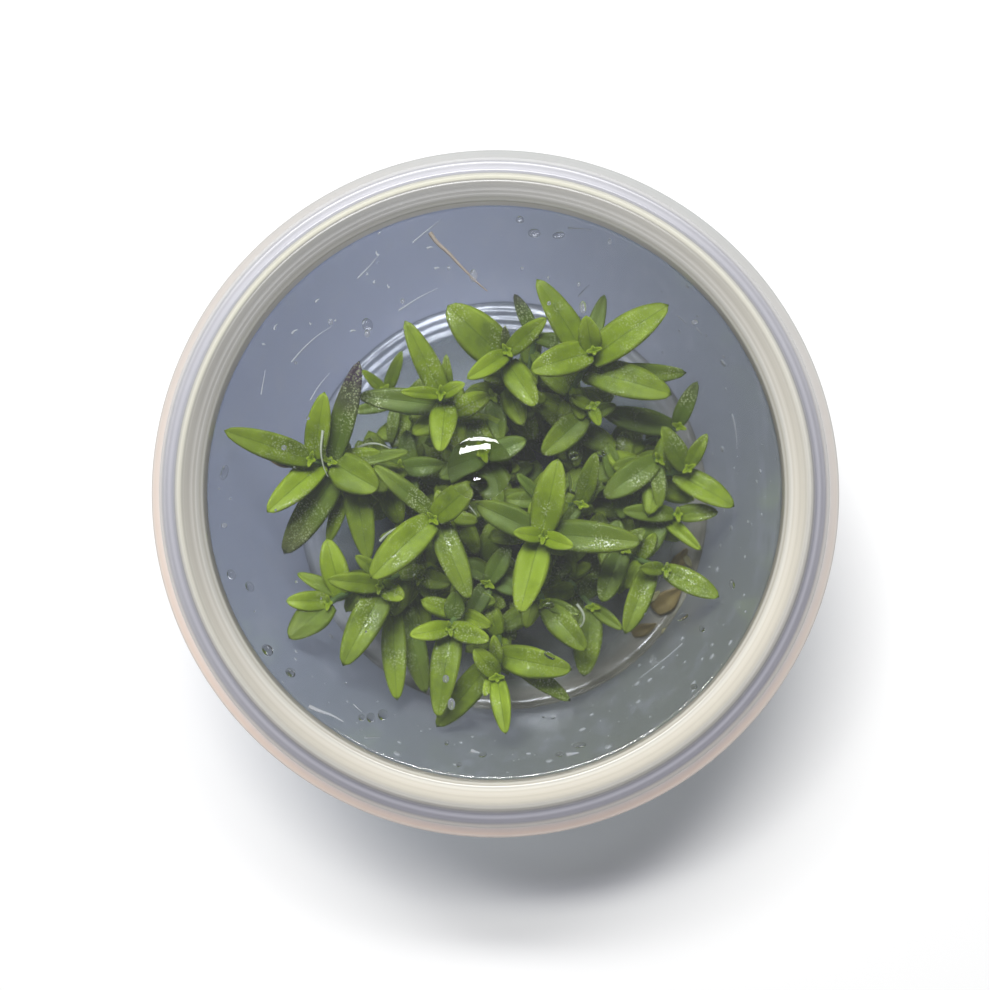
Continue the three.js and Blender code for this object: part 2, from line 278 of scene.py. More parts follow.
def cup_plastic():
    material, bench, place = new_material("cup_plastic")
    lower = lower_right(place, 9.0)
    cloud = noise(bench, place, 60.0)
    drawn = bench.node("ShaderNodeVectorMath", {"operation": "MULTIPLY"}, {0: place, 1: SMEAR_STRETCH})
    smear = ((noise(bench, drawn, 260.0, 3.0, 0.6) - 0.52) * 4.0).clamped()
    # Painted light and shade: the wall is lighter and bluer at the upper left, darker at the lower
    # right.
    tint = lower.blend(CUP_UPPER_LEFT_PAINTED_LIGHT, CUP_LOWER_RIGHT_PAINTED_SHADE)
    plastic = principled(
        bench,
        {
            "Base Color": (smear * 0.6).blend(tint, (1, 1, 1, 1)),
            "Roughness": 0.1 + cloud * 0.12,
            "IOR": PLASTIC_IOR,
            "Transmission Weight": 0.4,
            "Normal": bumpy(bench, noise(bench, place, 220.0), 0.15, 0.0004),
        },
    )
    milky = glowing(bench, plastic, 0.5, CUP_GLOW)
    clear = bench.node(
        "ShaderNodeMixShader",
        inputs={0: lower, 1: tinted(bench, CUP_FAR_TINT), 2: tinted(bench, CUP_NEAR_TINT)},
    )
    close_material(bench, lit_through(bench, milky, clear))
    return material


rim_underside = MOUTH_HEIGHT - CUP_WALL
cup = turned(
    "cup_body",
    [
        (0, UNDERSIDE),
        (FOOT_INNER_RADIUS - 0.8, UNDERSIDE),
        (FOOT_INNER_RADIUS, 0),
        (FOOT_RADIUS - 0.6, 0),
        (FOOT_RADIUS, 0.5),
        (HEEL_INNER_RADIUS + 0.4, 2.6),
        (wall_radius(HEEL_TOP) + CUP_WALL, HEEL_TOP),
        (wall_radius(rim_underside) + CUP_WALL, rim_underside),
        (RIM_RADIUS - CUP_WALL, rim_underside),
        (RIM_RADIUS - 0.9, MOUTH_HEIGHT - RIM_DEPTH),
        (RIM_RADIUS, MOUTH_HEIGHT - RIM_DEPTH),
        (RIM_RADIUS, MOUTH_HEIGHT - 0.5),
        (RIM_RADIUS - 0.5, MOUTH_HEIGHT),
        (MOUTH_INNER_RADIUS, MOUTH_HEIGHT),
        (HEEL_INNER_RADIUS, HEEL_TOP),
        (HEEL_INNER_RADIUS - 0.7, 4.3),
        (HEEL_INNER_RADIUS - 1.7, 2.9),
        (HEEL_INNER_RADIUS - 3.0, FLOOR_TOP),
        (0, FLOOR_TOP),
    ],
    0.5,
    cup_plastic(),
)
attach(cup, "root")
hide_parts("cup")

# Nutrient gel
# Clear agar that set in the bottom of the cup, wet and glossy, with low waves on top. It is
# turned like the cup, and its top is then shaped, with a thin edge that climbs the wall.
GEL_TOP = 7.2
GEL_TOP_RADIUS = HEEL_INNER_RADIUS + 0.1
GEL_GAP = 0.05
GEL_EDGE_HEIGHT = 9.2
GEL_CLIMB = 1.2
GEL_CLIMB_BREADTH = 0.4
GEL_COLOUR = linear("dde3e4")
GEL_CLOUD = linear("afb2a4")
# Painted light: from GEL_RIM_RADIUS out to the wall the gel is painted lighter and cloudier, a stand-in
# for light that the wall scatters onto it, bluer at the upper left and beige at the lower right.
GEL_RIM_FAR_PAINTED_LIGHT = linear("c9cfdc")
GEL_RIM_NEAR_PAINTED_LIGHT = linear("c6c0a6")
GEL_RIM_RADIUS = 28.5
UPPER_LEFT = math.radians(112)
# Each wave is (distance from the wall, breadth, height, number of lumps round the bed).
GEL_WAVES = [(1.3, 0.5, 0.13, 9), (2.7, 0.45, 0.10, 13), (4.3, 0.7, 0.13, 7)]
WAVED_BREADTH = 8
WAVE_RINGS = 64


def upper_left_share(azimuth):
    return 0.5 + 0.5 * math.cos(azimuth - UPPER_LEFT)


def gel_height(inwards, azimuth):
    """The height of the gel's top: low waves round the bed, highest at the upper left, and a
    hollow where it climbs the wall, steepest at the lower right."""
    lean = upper_left_share(azimuth)
    hollow = (GEL_CLIMB - 1.05 * lean) * math.exp(-inwards / (GEL_CLIMB_BREADTH - 0.1 * lean))
    depth = inwards + 0.25 * math.sin(3 * azimuth) + 0.15 * math.sin(7 * azimuth + 1)
    waves = 0.0
    for place, breadth, swell, lumps in GEL_WAVES:
        lumpy = 1.0 + 0.3 * math.sin(lumps * azimuth) + 0.15 * math.sin(2.3 * lumps * azimuth + 1)
        waves += swell * lumpy * math.exp(-(((depth - place) / breadth) ** 2))
    return GEL_TOP + hollow + (0.2 + 0.8 * lean) * waves


def wet_gel():
    material, bench, place = new_material("wet_gel")
    lower = lower_right(place, 12.0)
    # Painted light near the wall: a lighter rim colour and a larger cloudy share.
    rim = ((place.from_axis() - GEL_RIM_RADIUS * MM) * 300.0).clamped()
    rim_painted_light = lower.blend(GEL_RIM_FAR_PAINTED_LIGHT, GEL_RIM_NEAR_PAINTED_LIGHT)
    patch = noise(bench, place, 150.0)
    swell = noise(bench, place, 90.0) + noise(bench, place, 420.0) * 0.12
    wet = {
        "Roughness": 0.08 + rim * (1.0 - lower * 0.5) * 0.1,
        "Normal": bumpy(bench, swell, 0.3, 0.0012),
    }
    clear = {"Base Color": GEL_COLOUR, "IOR": 1.34, "Transmission Weight": 0.9, **wet}
    cloudy = {"Base Color": rim.blend(GEL_CLOUD, rim_painted_light), "IOR": 2.6, **wet}
    gel = bench.node(
        "ShaderNodeMixShader",
        inputs={
            0: 0.3 + rim * 0.35 + (patch - 0.5) * 0.3,
            1: principled(bench, clear),
            2: principled(bench, cloudy),
        },
    )
    close_material(bench, lit_through(bench, gel, tinted(bench, GEL_COLOUR)))
    return material


top_rings = [0.2 + 7.0 * step / WAVE_RINGS for step in range(WAVE_RINGS + 1)]
gel = turned(
    "gel_bed",
    [
        (0, FLOOR_TOP + GEL_GAP),
        (HEEL_INNER_RADIUS - 3.2, FLOOR_TOP + GEL_GAP),
        (HEEL_INNER_RADIUS - 1.85, 3.2),
        (HEEL_INNER_RADIUS - 0.85, 4.5),
        (HEEL_INNER_RADIUS - GEL_GAP, HEEL_TOP),
        (wall_radius(GEL_EDGE_HEIGHT) - GEL_GAP, GEL_EDGE_HEIGHT),
        *((GEL_TOP_RADIUS - inwards, GEL_TOP) for inwards in top_rings),
        (0, GEL_TOP),
    ],
    0.2,
    wet_gel(),
)
for vertex in gel.data.vertices:
    x, y, z = vertex.co / MM
    azimuth = math.atan2(y, x)
    inwards = GEL_TOP_RADIUS - math.hypot(x, y)
    if z > GEL_TOP + 0.01:
        # The edge climbs less at the upper left, and keeps to the leaning wall.
        sunk = (z - GEL_TOP) * 0.8 * upper_left_share(azimuth)
        drawn_in = 1 - WALL_SLOPE * sunk / math.hypot(x, y)
        vertex.co = Vector((x * drawn_in, y * drawn_in, z - sunk)) * MM
    elif z > GEL_TOP - 0.01 and -0.1 < inwards < WAVED_BREADTH:
        vertex.co.z = max(z, gel_height(inwards, azimuth)) * MM
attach(gel, "root")
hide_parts("nutrient_gel")

# Shoots
# Young stems grown in the gel, each one living piece with lance-shaped leaves in opposite
# pairs. The leaves are fleshy, wet and finely pebbled, with a sunken midrib: yellow-green at
# the crown, darker below, partly as painted shade, and brown-purple at a few old tips. Pale
# painted glints sit in clusters on the pebbles, and the leaf edges are painted paler.
STEM_RADIUS = 0.6
STEM_TAPER = 0.35
STEM_SIDES = 10
STEM_STATIONS = 36
NODE_SWELL = 0.25
NODE_BREADTH = 0.02
ROOT_DEPTH = 3.2
FOOT_PULL = 0.62
NODE_SPACING = 2.6
BUD_LENGTHS = (2.2, 2.2, 1.3, 1.3)
BUD_WIDTH = 0.8
BUD_RISE = 55
BUD_SHARE = 0.995
STEM_TONE = -1.0
LEAF_THICKNESS = 0.42
LEAF_FOLD = 0.22
LEAF_ARCH = 24
LEAF_BASE = 0.55
LEAF_WIDEST = 0.42
LEAF_BLUNTNESS = 0.55
LEAF_STATIONS = 18
LEAF_ACROSS = 8
LEAF_SPREAD = 1.08
LEAF_SWAY = 0.035
LEAF_TWIST = 0.35
LEAF_WAVE = 0.08
RIB_DEPTH = 0.12
RIB_BREADTH = 0.16

# The shoots on each side of the tuft, each as its crown (x, y, z) and then its leaves from the
# top pair down as (turn, length, width, rise, tone, age): turn is anticlockwise from +X seen
# from above, rise is the angle of the leaf's base-to-tip line, tone runs from 0, dark, to 1,
# bright, and holds both the leaf's own colour and painted shade, lower for leaves deeper in
# the tuft, and age browns the tip.
SHOOTS = {
    "left": [
        [(-27.7, 5.5, 43), (163, 14.6, 3.9, 28, 0.6, 0), (76, 11.1, 3.5, 25, 0.8, 0),
         (223, 11.9, 4, 20, 0.9, 0), (175, 8.2, 2.6, -10, 0.2, 1.6)],
        [(-25.1, 5.3, 41), (72, 16.4, 3.5, 20, 0.3, 1.3), (328, 8.4, 5.4, 10, 0.7, 0),
         (12, 10.5, 2.1, 5, 0.5, 0), (236, 16.8, 4.6, -10, 0.45, 0.6), (280, 14.6, 4, -5, 0.5, 0),
         (251, 12.9, 2.5, -15, 0.6, 0)],
        [(-8.3, 15.2, 44), (177, 7.2, 1.9, 35, 0.9, 0), (23, 5.1, 2.1, 40, 0.9, 0),
         (116, 13.8, 3.5, 20, 0.7, 0), (268, 8.8, 4, 25, 0.8, 0), (172, 13.9, 3.6, 5, 0.2, 0.2),
         (93, 9.2, 1.9, 35, 0.6, 0)],
        [(-18.3, 17.3, 27), (138, 5.7, 1.7, 30, 0.6, 0), (64, 7.6, 2, 25, 0.5, 0),
         (193, 7.5, 1.9, 5, 0.4, 0), (260, 6.7, 1.9, 0, 0.4, 0)],
        [(-26, -16, 36), (177, 7, 3, 20, 0.8, 0), (224, 8.6, 4.7, 14, 0.5, 0.2),
         (152, 7.8, 2.2, 5, 0.6, 0), (106, 9.2, 4, 10, 0.8, 0)],
        [(-17.8, -13.5, 39), (171, 8.5, 3, 20, 0.7, 0), (333, 4.5, 3, 25, 0.8, 0),
         (240, 14.9, 4.8, 10, 0.6, 0), (140, 6.8, 2.4, 20, 0.6, 0)],
    ],
    "back": [
        [(1.5, 21.6, 43), (218, 8.4, 2.9, 30, 0.8, 0), (38, 8.8, 2.8, 30, 0.7, 0),
         (138, 12.5, 6.0, 15, 0.7, 0), (302, 8.5, 4, 15, 0.7, 0), (89, 9.3, 1.8, 50, 0.4, 0.6)],
        [(14.4, 21.7, 43), (105, 6.7, 3.2, 40, 0.7, 0), (196, 10.5, 4.5, 20, 0.8, 0),
         (35, 14.9, 5.1, 12, 0.85, 0), (122, 14.7, 4.1, 15, 0.7, 0), (345, 14.1, 5.0, 5, 0.6, 0),
         (75, 12.2, 2.6, -5, 0.2, 0.2), (3, 17, 3.4, -8, 0.3, 0)],
        [(5.6, 26, 28), (114, 7.6, 2.2, 10, 0.1, 0.7), (347, 8.9, 2.5, 10, 0.4, 0),
         (304, 5.5, 1.9, 20, 0.4, 0)],
    ],
    "right": [
        [(28.2, 11.6, 27), (68, 8.6, 2.6, 25, 0.2, 0.4), (169, 12.3, 3.8, 5, 0.2, 0),
         (289, 4.3, 2.1, 10, 0.3, 0)],
        [(29.2, 4.6, 34), (124, 8.3, 3.3, 25, 0.5, 0), (62, 6.8, 2.3, 25, 0.6, 0),
         (332, 11, 4, 5, 0.8, 0), (112, 4.8, 1.8, 30, 0.5, 0)],
        [(24.9, 6.2, 31), (214, 10.3, 4.3, 5, 0.4, 0), (275, 7.5, 2.3, 0, 0.4, 0),
         (185, 5.2, 2.8, 0, 0.4, 0)],
        [(28, -2.3, 28), (5, 6.9, 2.8, 10, 0.5, 0.1), (176, 8.8, 2.8, 15, 0.4, 0),
         (249, 8, 3.8, 5, 0.3, 0), (317, 8.9, 2.2, 15, 0.8, 0)],
        [(25.9, -11, 32), (176, 4.3, 2.2, 25, 0.6, 0), (333, 9.7, 3.5, 10, 0.7, 0),
         (248, 11.8, 3.7, 6, 0.6, 0.1)],
    ],
    "middle": [
        [(6.9, -6.1, 46), (173, 5.4, 2.3, 35, 0.9, 0), (340, 5.8, 2.5, 35, 1, 0),
         (76, 12, 4.6, 15, 0.8, 0), (254, 12.3, 4.7, 10, 1, 0), (357, 15.7, 4.6, 10, 0.4, 0),
         (153, 10.7, 4.1, 0, 0.4, 0)],
        [(-9.5, -3.4, 44), (39, 8.7, 4.1, 20, 0.7, 0), (222, 13.1, 5, 10, 0.8, 0),
         (139, 12.6, 2.8, 10, 0.5, 0), (290, 13.2, 4, 5, 0.6, 0), (200, 10.3, 1.5, 20, 0.6, 0)],
        [(12.6, -1.1, 38), (71, 9.4, 2.8, 30, 0.5, 0), (228, 5.1, 2, 10, 0.3, 0),
         (39, 6.2, 2.4, 30, 0.3, 0)],
        [(6.8, -0.2, 34), (181, 5.8, 2.6, 5, 0.4, 0), (133, 6, 1.8, 20, 0.3, 0),
         (32, 5.9, 2.3, 10, 0.3, 0)],
        [(-1, 16.1, 30), (207, 6.8, 5.5, 0, 0.3, 0), (278, 7.2, 3.1, 10, 0.3, 0),
         (351, 6.7, 3.1, 10, 0.3, 0)],
        [(14.5, 14.2, 34), (294, 4.6, 1.8, 45, 0.7, 0), (155, 4.3, 1.8, 20, 0.5, 0),
         (224, 9.3, 4.3, 5, 0.5, 0), (15, 5.3, 2.3, 20, 0.3, 0)],
        [(-2.6, 6.4, 33), (204, 7.5, 3.4, 10, 0.2, 0), (22, 7.5, 3.4, 8, 0.2, 0),
         (112, 6.5, 3, 10, 0.2, 0), (290, 7.5, 3.2, 6, 0.3, 0)],
        [(-15.5, 5, 31), (170, 5.2, 2.9, 10, 0.2, 0), (2, 7, 3, 5, 0.2, 0),
         (94, 6.5, 2.9, 8, 0.2, 0), (272, 6, 2.8, 4, 0.2, 0)],
        [(-1.8, -13.2, 30), (62, 7, 3.1, 8, 0.2, 0), (240, 6.5, 3, 8, 0.2, 0),
         (152, 6, 2.8, 4, 0.2, 0), (334, 6.5, 2.8, 6, 0.2, 0)],
        [(18.6, 3.4, 27), (104, 6, 2.8, 10, 0.2, 0), (282, 6.5, 2.8, 4, 0.2, 0),
         (192, 6, 2.8, 6, 0.2, 0)],
    ],
    "front": [
        [(-12.3, -12.2, 33), (349, 5.1, 2.9, 15, 0.6, 0), (162, 3.5, 1.9, 0, 0.4, 0),
         (277, 4.6, 3.4, 0, 0.3, 0)],
        [(-7.2, -19.8, 40), (193, 6.8, 2.8, 25, 0.9, 0), (342, 7, 3, 25, 0.9, 0),
         (259, 15.2, 4.2, 5, 0.7, 0), (84, 4.8, 3, 20, 0.2, 0)],
        [(-0.2, -27.3, 38), (280, 9.2, 2.9, 15, 0.9, 0), (130, 6.1, 3, 25, 0.7, 0),
         (99, 5.8, 2.1, 35, 0.7, 0), (249, 5.9, 2, 30, 0.9, 0), (348, 11.9, 4.6, 10, 0.7, 0),
         (229, 15.3, 4.2, -10, 0.6, 0.1), (321, 14.6, 3, -10, 0.4, 0)],
        [(-16.9, -17.4, 29), (271, 14.4, 3.7, 5, 0.6, 0), (40, 6, 2, 15, 0.4, 0),
         (283, 15.3, 3.8, -5, 0.3, 0.1)],
        [(6.9, -16.1, 34), (310, 10.2, 4, 10, 0.6, 0), (344, 6.2, 2.1, 15, 0.3, 0.1),
         (163, 5.1, 2.2, 30, 0.5, 0)],
        [(14.6, -16.9, 27), (264, 11.3, 4.3, 0, 0.5, 0), (324, 6.6, 2, 20, 0.5, 0),
         (63, 4.5, 3.2, 20, 0.3, 0)],
        [(19.4, -7.8, 30), (247, 9, 4, 6, 0.3, 0), (39, 4.8, 2.5, 8, 0.3, 0),
         (80, 4.2, 3, 8, 0.2, 0)],
    ],
}


def stem_height(crown):
    return crown[2] - GEL_TOP + ROOT_DEPTH


def stem_point(crown, share):
    """A point and direction on the curve from the root to the crown, in millimetres."""
    x, y, top = crown
    bottom = GEL_TOP - ROOT_DEPTH + STEM_RADIUS
    foot = Vector((x * FOOT_PULL, y * FOOT_PULL, bottom))
    knee = Vector((foot.x, foot.y, bottom + 0.5 * (top - bottom)))
    head = Vector(crown)
    point = foot * (1 - share) ** 2 + knee * 2 * share * (1 - share) + head * share**2
    direction = (knee - foot) * (1 - share) + (head - knee) * share
    return point, direction.normalized()


def add_ring(shell, layers, points, uvs, tone, age):
    ring = []
    for point, uv in zip(points, uvs):
        vertex = shell.verts.new(point * MM)
        vertex[layers["along"]] = uv[0]
        vertex[layers["across"]] = uv[1]
        vertex[layers["tone"]] = tone
        vertex[layers["age"]] = age
        ring.append(vertex)
    return ring


def leaf_fullness(along):
    """A leaf's share of its full width: it has a broad base, is widest before its middle and
    ends bluntly."""
    if along < LEAF_WIDEST:
        return LEAF_BASE + (1 - LEAF_BASE) * math.sin(0.5 * math.pi * along / LEAF_WIDEST)
    taper = 0.5 * math.pi * (along - LEAF_WIDEST) / (1 - LEAF_WIDEST)
    return max(math.cos(taper), 0) ** LEAF_BLUNTNESS


def add_leaf(shell, layers, base, leaf, twist=0.0, stations=LEAF_STATIONS, columns=LEAF_ACROSS):
    """One fleshy leaf: a closed blade with a folded, sunken midrib and a rounded edge."""
    turn, length, width, rise, tone, age = leaf
    heading = math.radians(turn)
    outward = around(1, heading, 0)
    sideways = around(1, heading + math.pi / 2, 0)
    up = Vector((0, 0, 1))
    bend = math.radians(LEAF_ARCH)
    start = math.radians(rise) + bend / 2
    # Each leaf bends to one side by its own small amount, which only has to look uneven.
    sway = LEAF_SWAY * length * math.sin(turn)
    previous = None
    for station in range(stations + 1):
        along = station / stations
        slope = start - bend * along
        reach = length / bend * (math.sin(start) - math.sin(slope))
        climb = length / bend * (math.cos(slope) - math.cos(start))
        tangent = outward * math.cos(slope) + up * math.sin(slope)
        upper = up * math.cos(slope) - outward * math.sin(slope)
        turned_upper = Matrix.Rotation(twist * along, 3, tangent) @ upper
        side = turned_upper.cross(tangent)
        middle = base + outward * reach + up * climb + sideways * (sway * along**2)
        fullness = leaf_fullness(along)
        half_width = 0.5 * LEAF_SPREAD * width * fullness
        if station in (0, stations):
            ring = add_ring(shell, layers, [middle], [(along, 0.5)], tone, age)
        else:
            points, uvs = [], []
            for place in range(2 * columns):
                over = place <= columns
                step = place if over else 2 * columns - place
                across = 2 * step / columns - 1
                rim = math.sqrt(max(1 - across**4, 0))
                lift = LEAF_FOLD * half_width * math.sqrt(across**2 + 0.01)
                lift += LEAF_WAVE * half_width * math.sin(9 * along + 2 * tone) * across
                swell = 0.5 * LEAF_THICKNESS * fullness**0.5 * rim
                groove = RIB_DEPTH * math.exp(-((across / RIB_BREADTH) ** 2)) * fullness
                height = lift + (swell - groove if over else -swell - 0.6 * groove)
                points.append(middle + side * (across * half_width) + turned_upper * height)
                uvs.append((along, 0.5 + 0.5 * across))
            ring = add_ring(shell, layers, points, uvs, tone, age)
        if previous:
            join_rings(shell, previous, ring)
        previous = ring


def add_stem(shell, layers, crown, nodes):
    """A round stem that swells a little at each pair of leaves and thins towards its tip."""
    previous = None
    for station in range(STEM_STATIONS + 1):
        share = station / STEM_STATIONS
        point, direction = stem_point(crown, share)
        radius = STEM_RADIUS * (1 - STEM_TAPER * share)
        swells = (math.exp(-(((share - node) / NODE_BREADTH) ** 2)) for node in nodes)
        radius *= 1 + NODE_SWELL * sum(swells)
        if station in (0, STEM_STATIONS):
            points, uvs = [point], [(share, 0.5)]
        else:
            first = direction.cross(Vector((0.3, 1, 0))).normalized()
            second = direction.cross(first)
            angles = [2 * math.pi * side / STEM_SIDES for side in range(STEM_SIDES)]
            points = [
                point + first * radius * math.cos(angle) + second * radius * math.sin(angle)
                for angle in angles
            ]
            uvs = [(share, side / STEM_SIDES) for side in range(STEM_SIDES)]
        ring = add_ring(shell, layers, points, uvs, STEM_TONE, 0)
        if previous:
            join_rings(shell, previous, ring)
        previous = ring


def grown_shell():
    shell = bmesh.new()
    names = ("along", "across", "tone", "age")
    return shell, {name: shell.verts.layers.float.new(name) for name in names}


LEAF_DARK = linear("5a7028")
LEAF_MID = linear("5d7016")
LEAF_BRIGHT = linear("8ba312")
LEAF_PALE = linear("abc03c")
LEAF_RIB = linear("3a5016")
LEAF_AGED = linear("43363f")
LEAF_PAINTED_GLINT = linear("d3dd9e")
STEM_COLOUR = linear("6f8a48")


def leaf_skin():
    material, bench, place = new_material("leaf_skin")

    def reading(name):
        return bench.node("ShaderNodeAttribute", {"attribute_name": name}, output="Fac")

    along, across, tone, age = (reading(name) for name in ("along", "across", "tone", "age"))
    mottle = noise(bench, place, 900.0, 3.0)
    patch = noise(bench, place, 180.0, 2.0)
    from_rib = bench.maths("ABSOLUTE", across - 0.5)
    rib = (1.0 - from_rib * 30.0).clamped()
    shade = (tone + (patch - 0.5) * 0.6 + (mottle - 0.5) * 0.5).clamped()
    green = bench.node(
        "ShaderNodeValToRGB",
        {"stops": [(0.0, LEAF_DARK), (0.5, LEAF_MID), (1.0, LEAF_BRIGHT)]},
        {"Fac": shade},
    )
    paling = ((along - 0.4) * 1.7 + (patch - 0.5) * 2.0).clamped() * tone * 0.5
    # Painted light: the leaf's edge is painted paler, more on bright leaves.
    margin = ((from_rib - 0.4) * 10.0).clamped() * (0.15 + tone * 0.3)
    paled = (paling + margin).clamped().blend(green, LEAF_PALE)
    lined = (rib * 0.4).blend(paled, LEAF_RIB)
    tip = ((along - 0.45) * 2.2 + (patch - 0.5)).clamped()
    aged = (tip * age).clamped().blend(lined, LEAF_AGED)
    # Painted glints: clusters of pale specks on the wet pebbles lighten the colour, and the same specks
    # are also bumped and glossier.
    pebble = bench.node("ShaderNodeTexVoronoi", inputs={"Vector": place, "Scale": 2900.0})
    cluster = ((noise(bench, place, 230.0, 3.0) - 0.5 + age * 0.04) * 6.0).clamped()
    grain_and_glint = (1.15 - pebble * 2.2).clamped() * cluster
    is_stem = bench.maths("LESS_THAN", tone, -0.5)
    colour = is_stem.blend((grain_and_glint * 0.8).clamped().blend(aged, LEAF_PAINTED_GLINT), STEM_COLOUR)
    relief = grain_and_glint * 1.4 + mottle * 0.35 - rib * 0.5
    skin = principled(
        bench,
        {
            "Base Color": colour,
            "Roughness": 0.5 - grain_and_glint * 0.3 + (mottle - 0.5) * 0.1,
            "IOR": 1.4,
            "Specular IOR Level": 0.22,
            "Coat Weight": grain_and_glint,
            "Coat Roughness": 0.12,
            "Normal": bumpy(bench, relief, 0.6, 0.00012),
        },
    )
    close_material(bench, skin)
    return material


skin = leaf_skin()
grow = random.Random(4656)
shoots = {
    f"{side}_{order}": shoot
    for side, group in SHOOTS.items()
    for order, shoot in enumerate(group, 1)
}
for name, (crown, *leaves) in shoots.items():
    shell, layers = grown_shell()
    nodes = []
    for order, leaf in enumerate(leaves):
        share = 1 - (order // 2 * NODE_SPACING + STEM_RADIUS) / stem_height(crown)
        nodes.append(share)
        base, _ = stem_point(crown, share)
        add_leaf(shell, layers, base, leaf, grow.uniform(-LEAF_TWIST, LEAF_TWIST))
    bud_base, _ = stem_point(crown, BUD_SHARE)
    for quarter, length in enumerate(BUD_LENGTHS):
        turn = leaves[0][0] + 90 + 180 * quarter + 90 * (quarter // 2)
        add_leaf(shell, layers, bud_base, (turn, length, BUD_WIDTH, BUD_RISE, 1.0, 0))
    add_stem(shell, layers, crown, nodes)
    shoot = closed_object("plant_" + name, shell, skin)
    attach(shoot, "root")
    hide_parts("shoot_" + name)

# Lower leaves
# Older pairs of leaves further down each stem, small and dark green, which close the tuft
# and leave only dim gaps; the lower a pair grows, the darker it is painted, as painted shade.
# Geometry Nodes grows them along the stems, each pair about a quarter turn on from the last,
# where the wall leaves them room.
PAIR_SPACING = 2.9
PAIR_LENGTH = 8.2
PAIR_WIDTH = 3.9
PAIR_RISE = 10
PAIR_TWIST = 0.2
PAIR_STATIONS = 9
PAIR_ACROSS = 4
LOWEST_PAIR = 0.18
PATH_STEPS = 12
ROOM_AT_BOTTOM = 31.8


def growth(name, kinds):
    """A Geometry Nodes tree and its inputs by name, each of a socket type given in kinds."""
    tree = bpy.data.node_groups.new(name, "GeometryNodeTree")
    tree.interface.new_socket("Geometry", in_out="OUTPUT", socket_type="NodeSocketGeometry")
    for label, kind in {"Geometry": "Geometry", **kinds}.items():
        tree.interface.new_socket(label, in_out="INPUT", socket_type="NodeSocket" + kind)
    bench = Signal(tree)
    return bench, bench.node("NodeGroupInput").sockets()


def close_growth(bench, geometry, material):
    real = bench.node("GeometryNodeRealizeInstances", inputs={"Geometry": geometry})
    dressed = bench.node("GeometryNodeSetMaterial", inputs={"Geometry": real, "Material": material})
    bench.node("NodeGroupOutput", inputs={0: dressed})


def chance(bench, seed, low, high, salt):
    settings = {"data_type": "FLOAT"}
    inputs = {2: low, 3: high, 8: seed + salt}
    return bench.node("FunctionNodeRandomValue", settings, inputs, output=1)


def grown(name, carrier, bench, values):
    """The plain mesh that the tree grows on the carrier mesh, as a new object."""
    piece = plain_object(name, carrier)
    modifier = piece.modifiers.new("growth", "NODES")
    modifier.node_group = bench.tree
    for item in bench.tree.interface.items_tree:
        if item.in_out == "INPUT" and item.name in values:
            modifier[item.identifier] = values[item.name]
    depsgraph = bpy.context.evaluated_depsgraph_get()
    depsgraph.update()
    mesh = bpy.data.meshes.new_from_object(piece.evaluated_get(depsgraph))
    piece.modifiers.clear()
    piece.data = mesh
    return piece


def leaf_pairs():
    kinds = {"Leaf pair": "Object", "Spacing": "Float", "Reach": "Float"}
    bench, given = growth("leaf_pairs", {**kinds, "Seed": "Int", "Skin": "Material"})
    seed = given["Seed"]
    stems = bench.node("GeometryNodeMeshToCurve", inputs={"Mesh": given["Geometry"]})
    spacing = {"Curve": stems, "Length": given["Spacing"]}
    nodes = bench.node("GeometryNodeResampleCurve", {"mode": "LENGTH"}, spacing)
    place = bench.node("GeometryNodeInputPosition")
    _, _, height = place.split()
    size = chance(bench, seed, 0.55, 1.0, 1)
    wall = ROOM_AT_BOTTOM * MM + height * WALL_SLOPE
    room = bench.maths("LESS_THAN", place.from_axis() + given["Reach"] * size, wall)
    turn = bench.node("GeometryNodeInputIndex") * (math.pi / 2) + chance(bench, seed, -0.6, 0.6, 2)
    tilt = [chance(bench, seed, -0.25, 0.25, salt) for salt in (3, 4)]
    facing = bench.node("ShaderNodeCombineXYZ", inputs={"X": tilt[0], "Y": tilt[1], "Z": turn})
    own = {"transform_space": "ORIGINAL"}
    pair = bench.node("GeometryNodeObjectInfo", own, {"Object": given["Leaf pair"]}, "Geometry")
    pairs = bench.node(
        "GeometryNodeInstanceOnPoints",
        inputs={"Points": nodes, "Selection": room, "Instance": pair, "Rotation": facing, "Scale": size},
    )
    # Painted shade: a pair's tone darkens the lower it grows, with a random share on top.
    tone = 0.16 + height * 17.0 + chance(bench, seed, -0.12, 0.16, 5)
    toned = bench.node(
        "GeometryNodeStoreNamedAttribute",
        {"data_type": "FLOAT", "domain": "INSTANCE"},
        {"Geometry": pairs, "Name": "tone", "Value": tone},
    )
    close_growth(bench, toned, given["Skin"])
    return bench


def path_mesh(name, paths):
    """An edge-only mesh with one chain of edges along each path of points in millimetres."""
    points, links = [], []
    for path in paths:
        links += [(len(points) + i, len(points) + i + 1) for i in range(len(path) - 1)]
        points += [Vector(point) * MM for point in path]
    mesh = bpy.data.meshes.new(name)
    mesh.from_pydata(points, links, [])
    return mesh


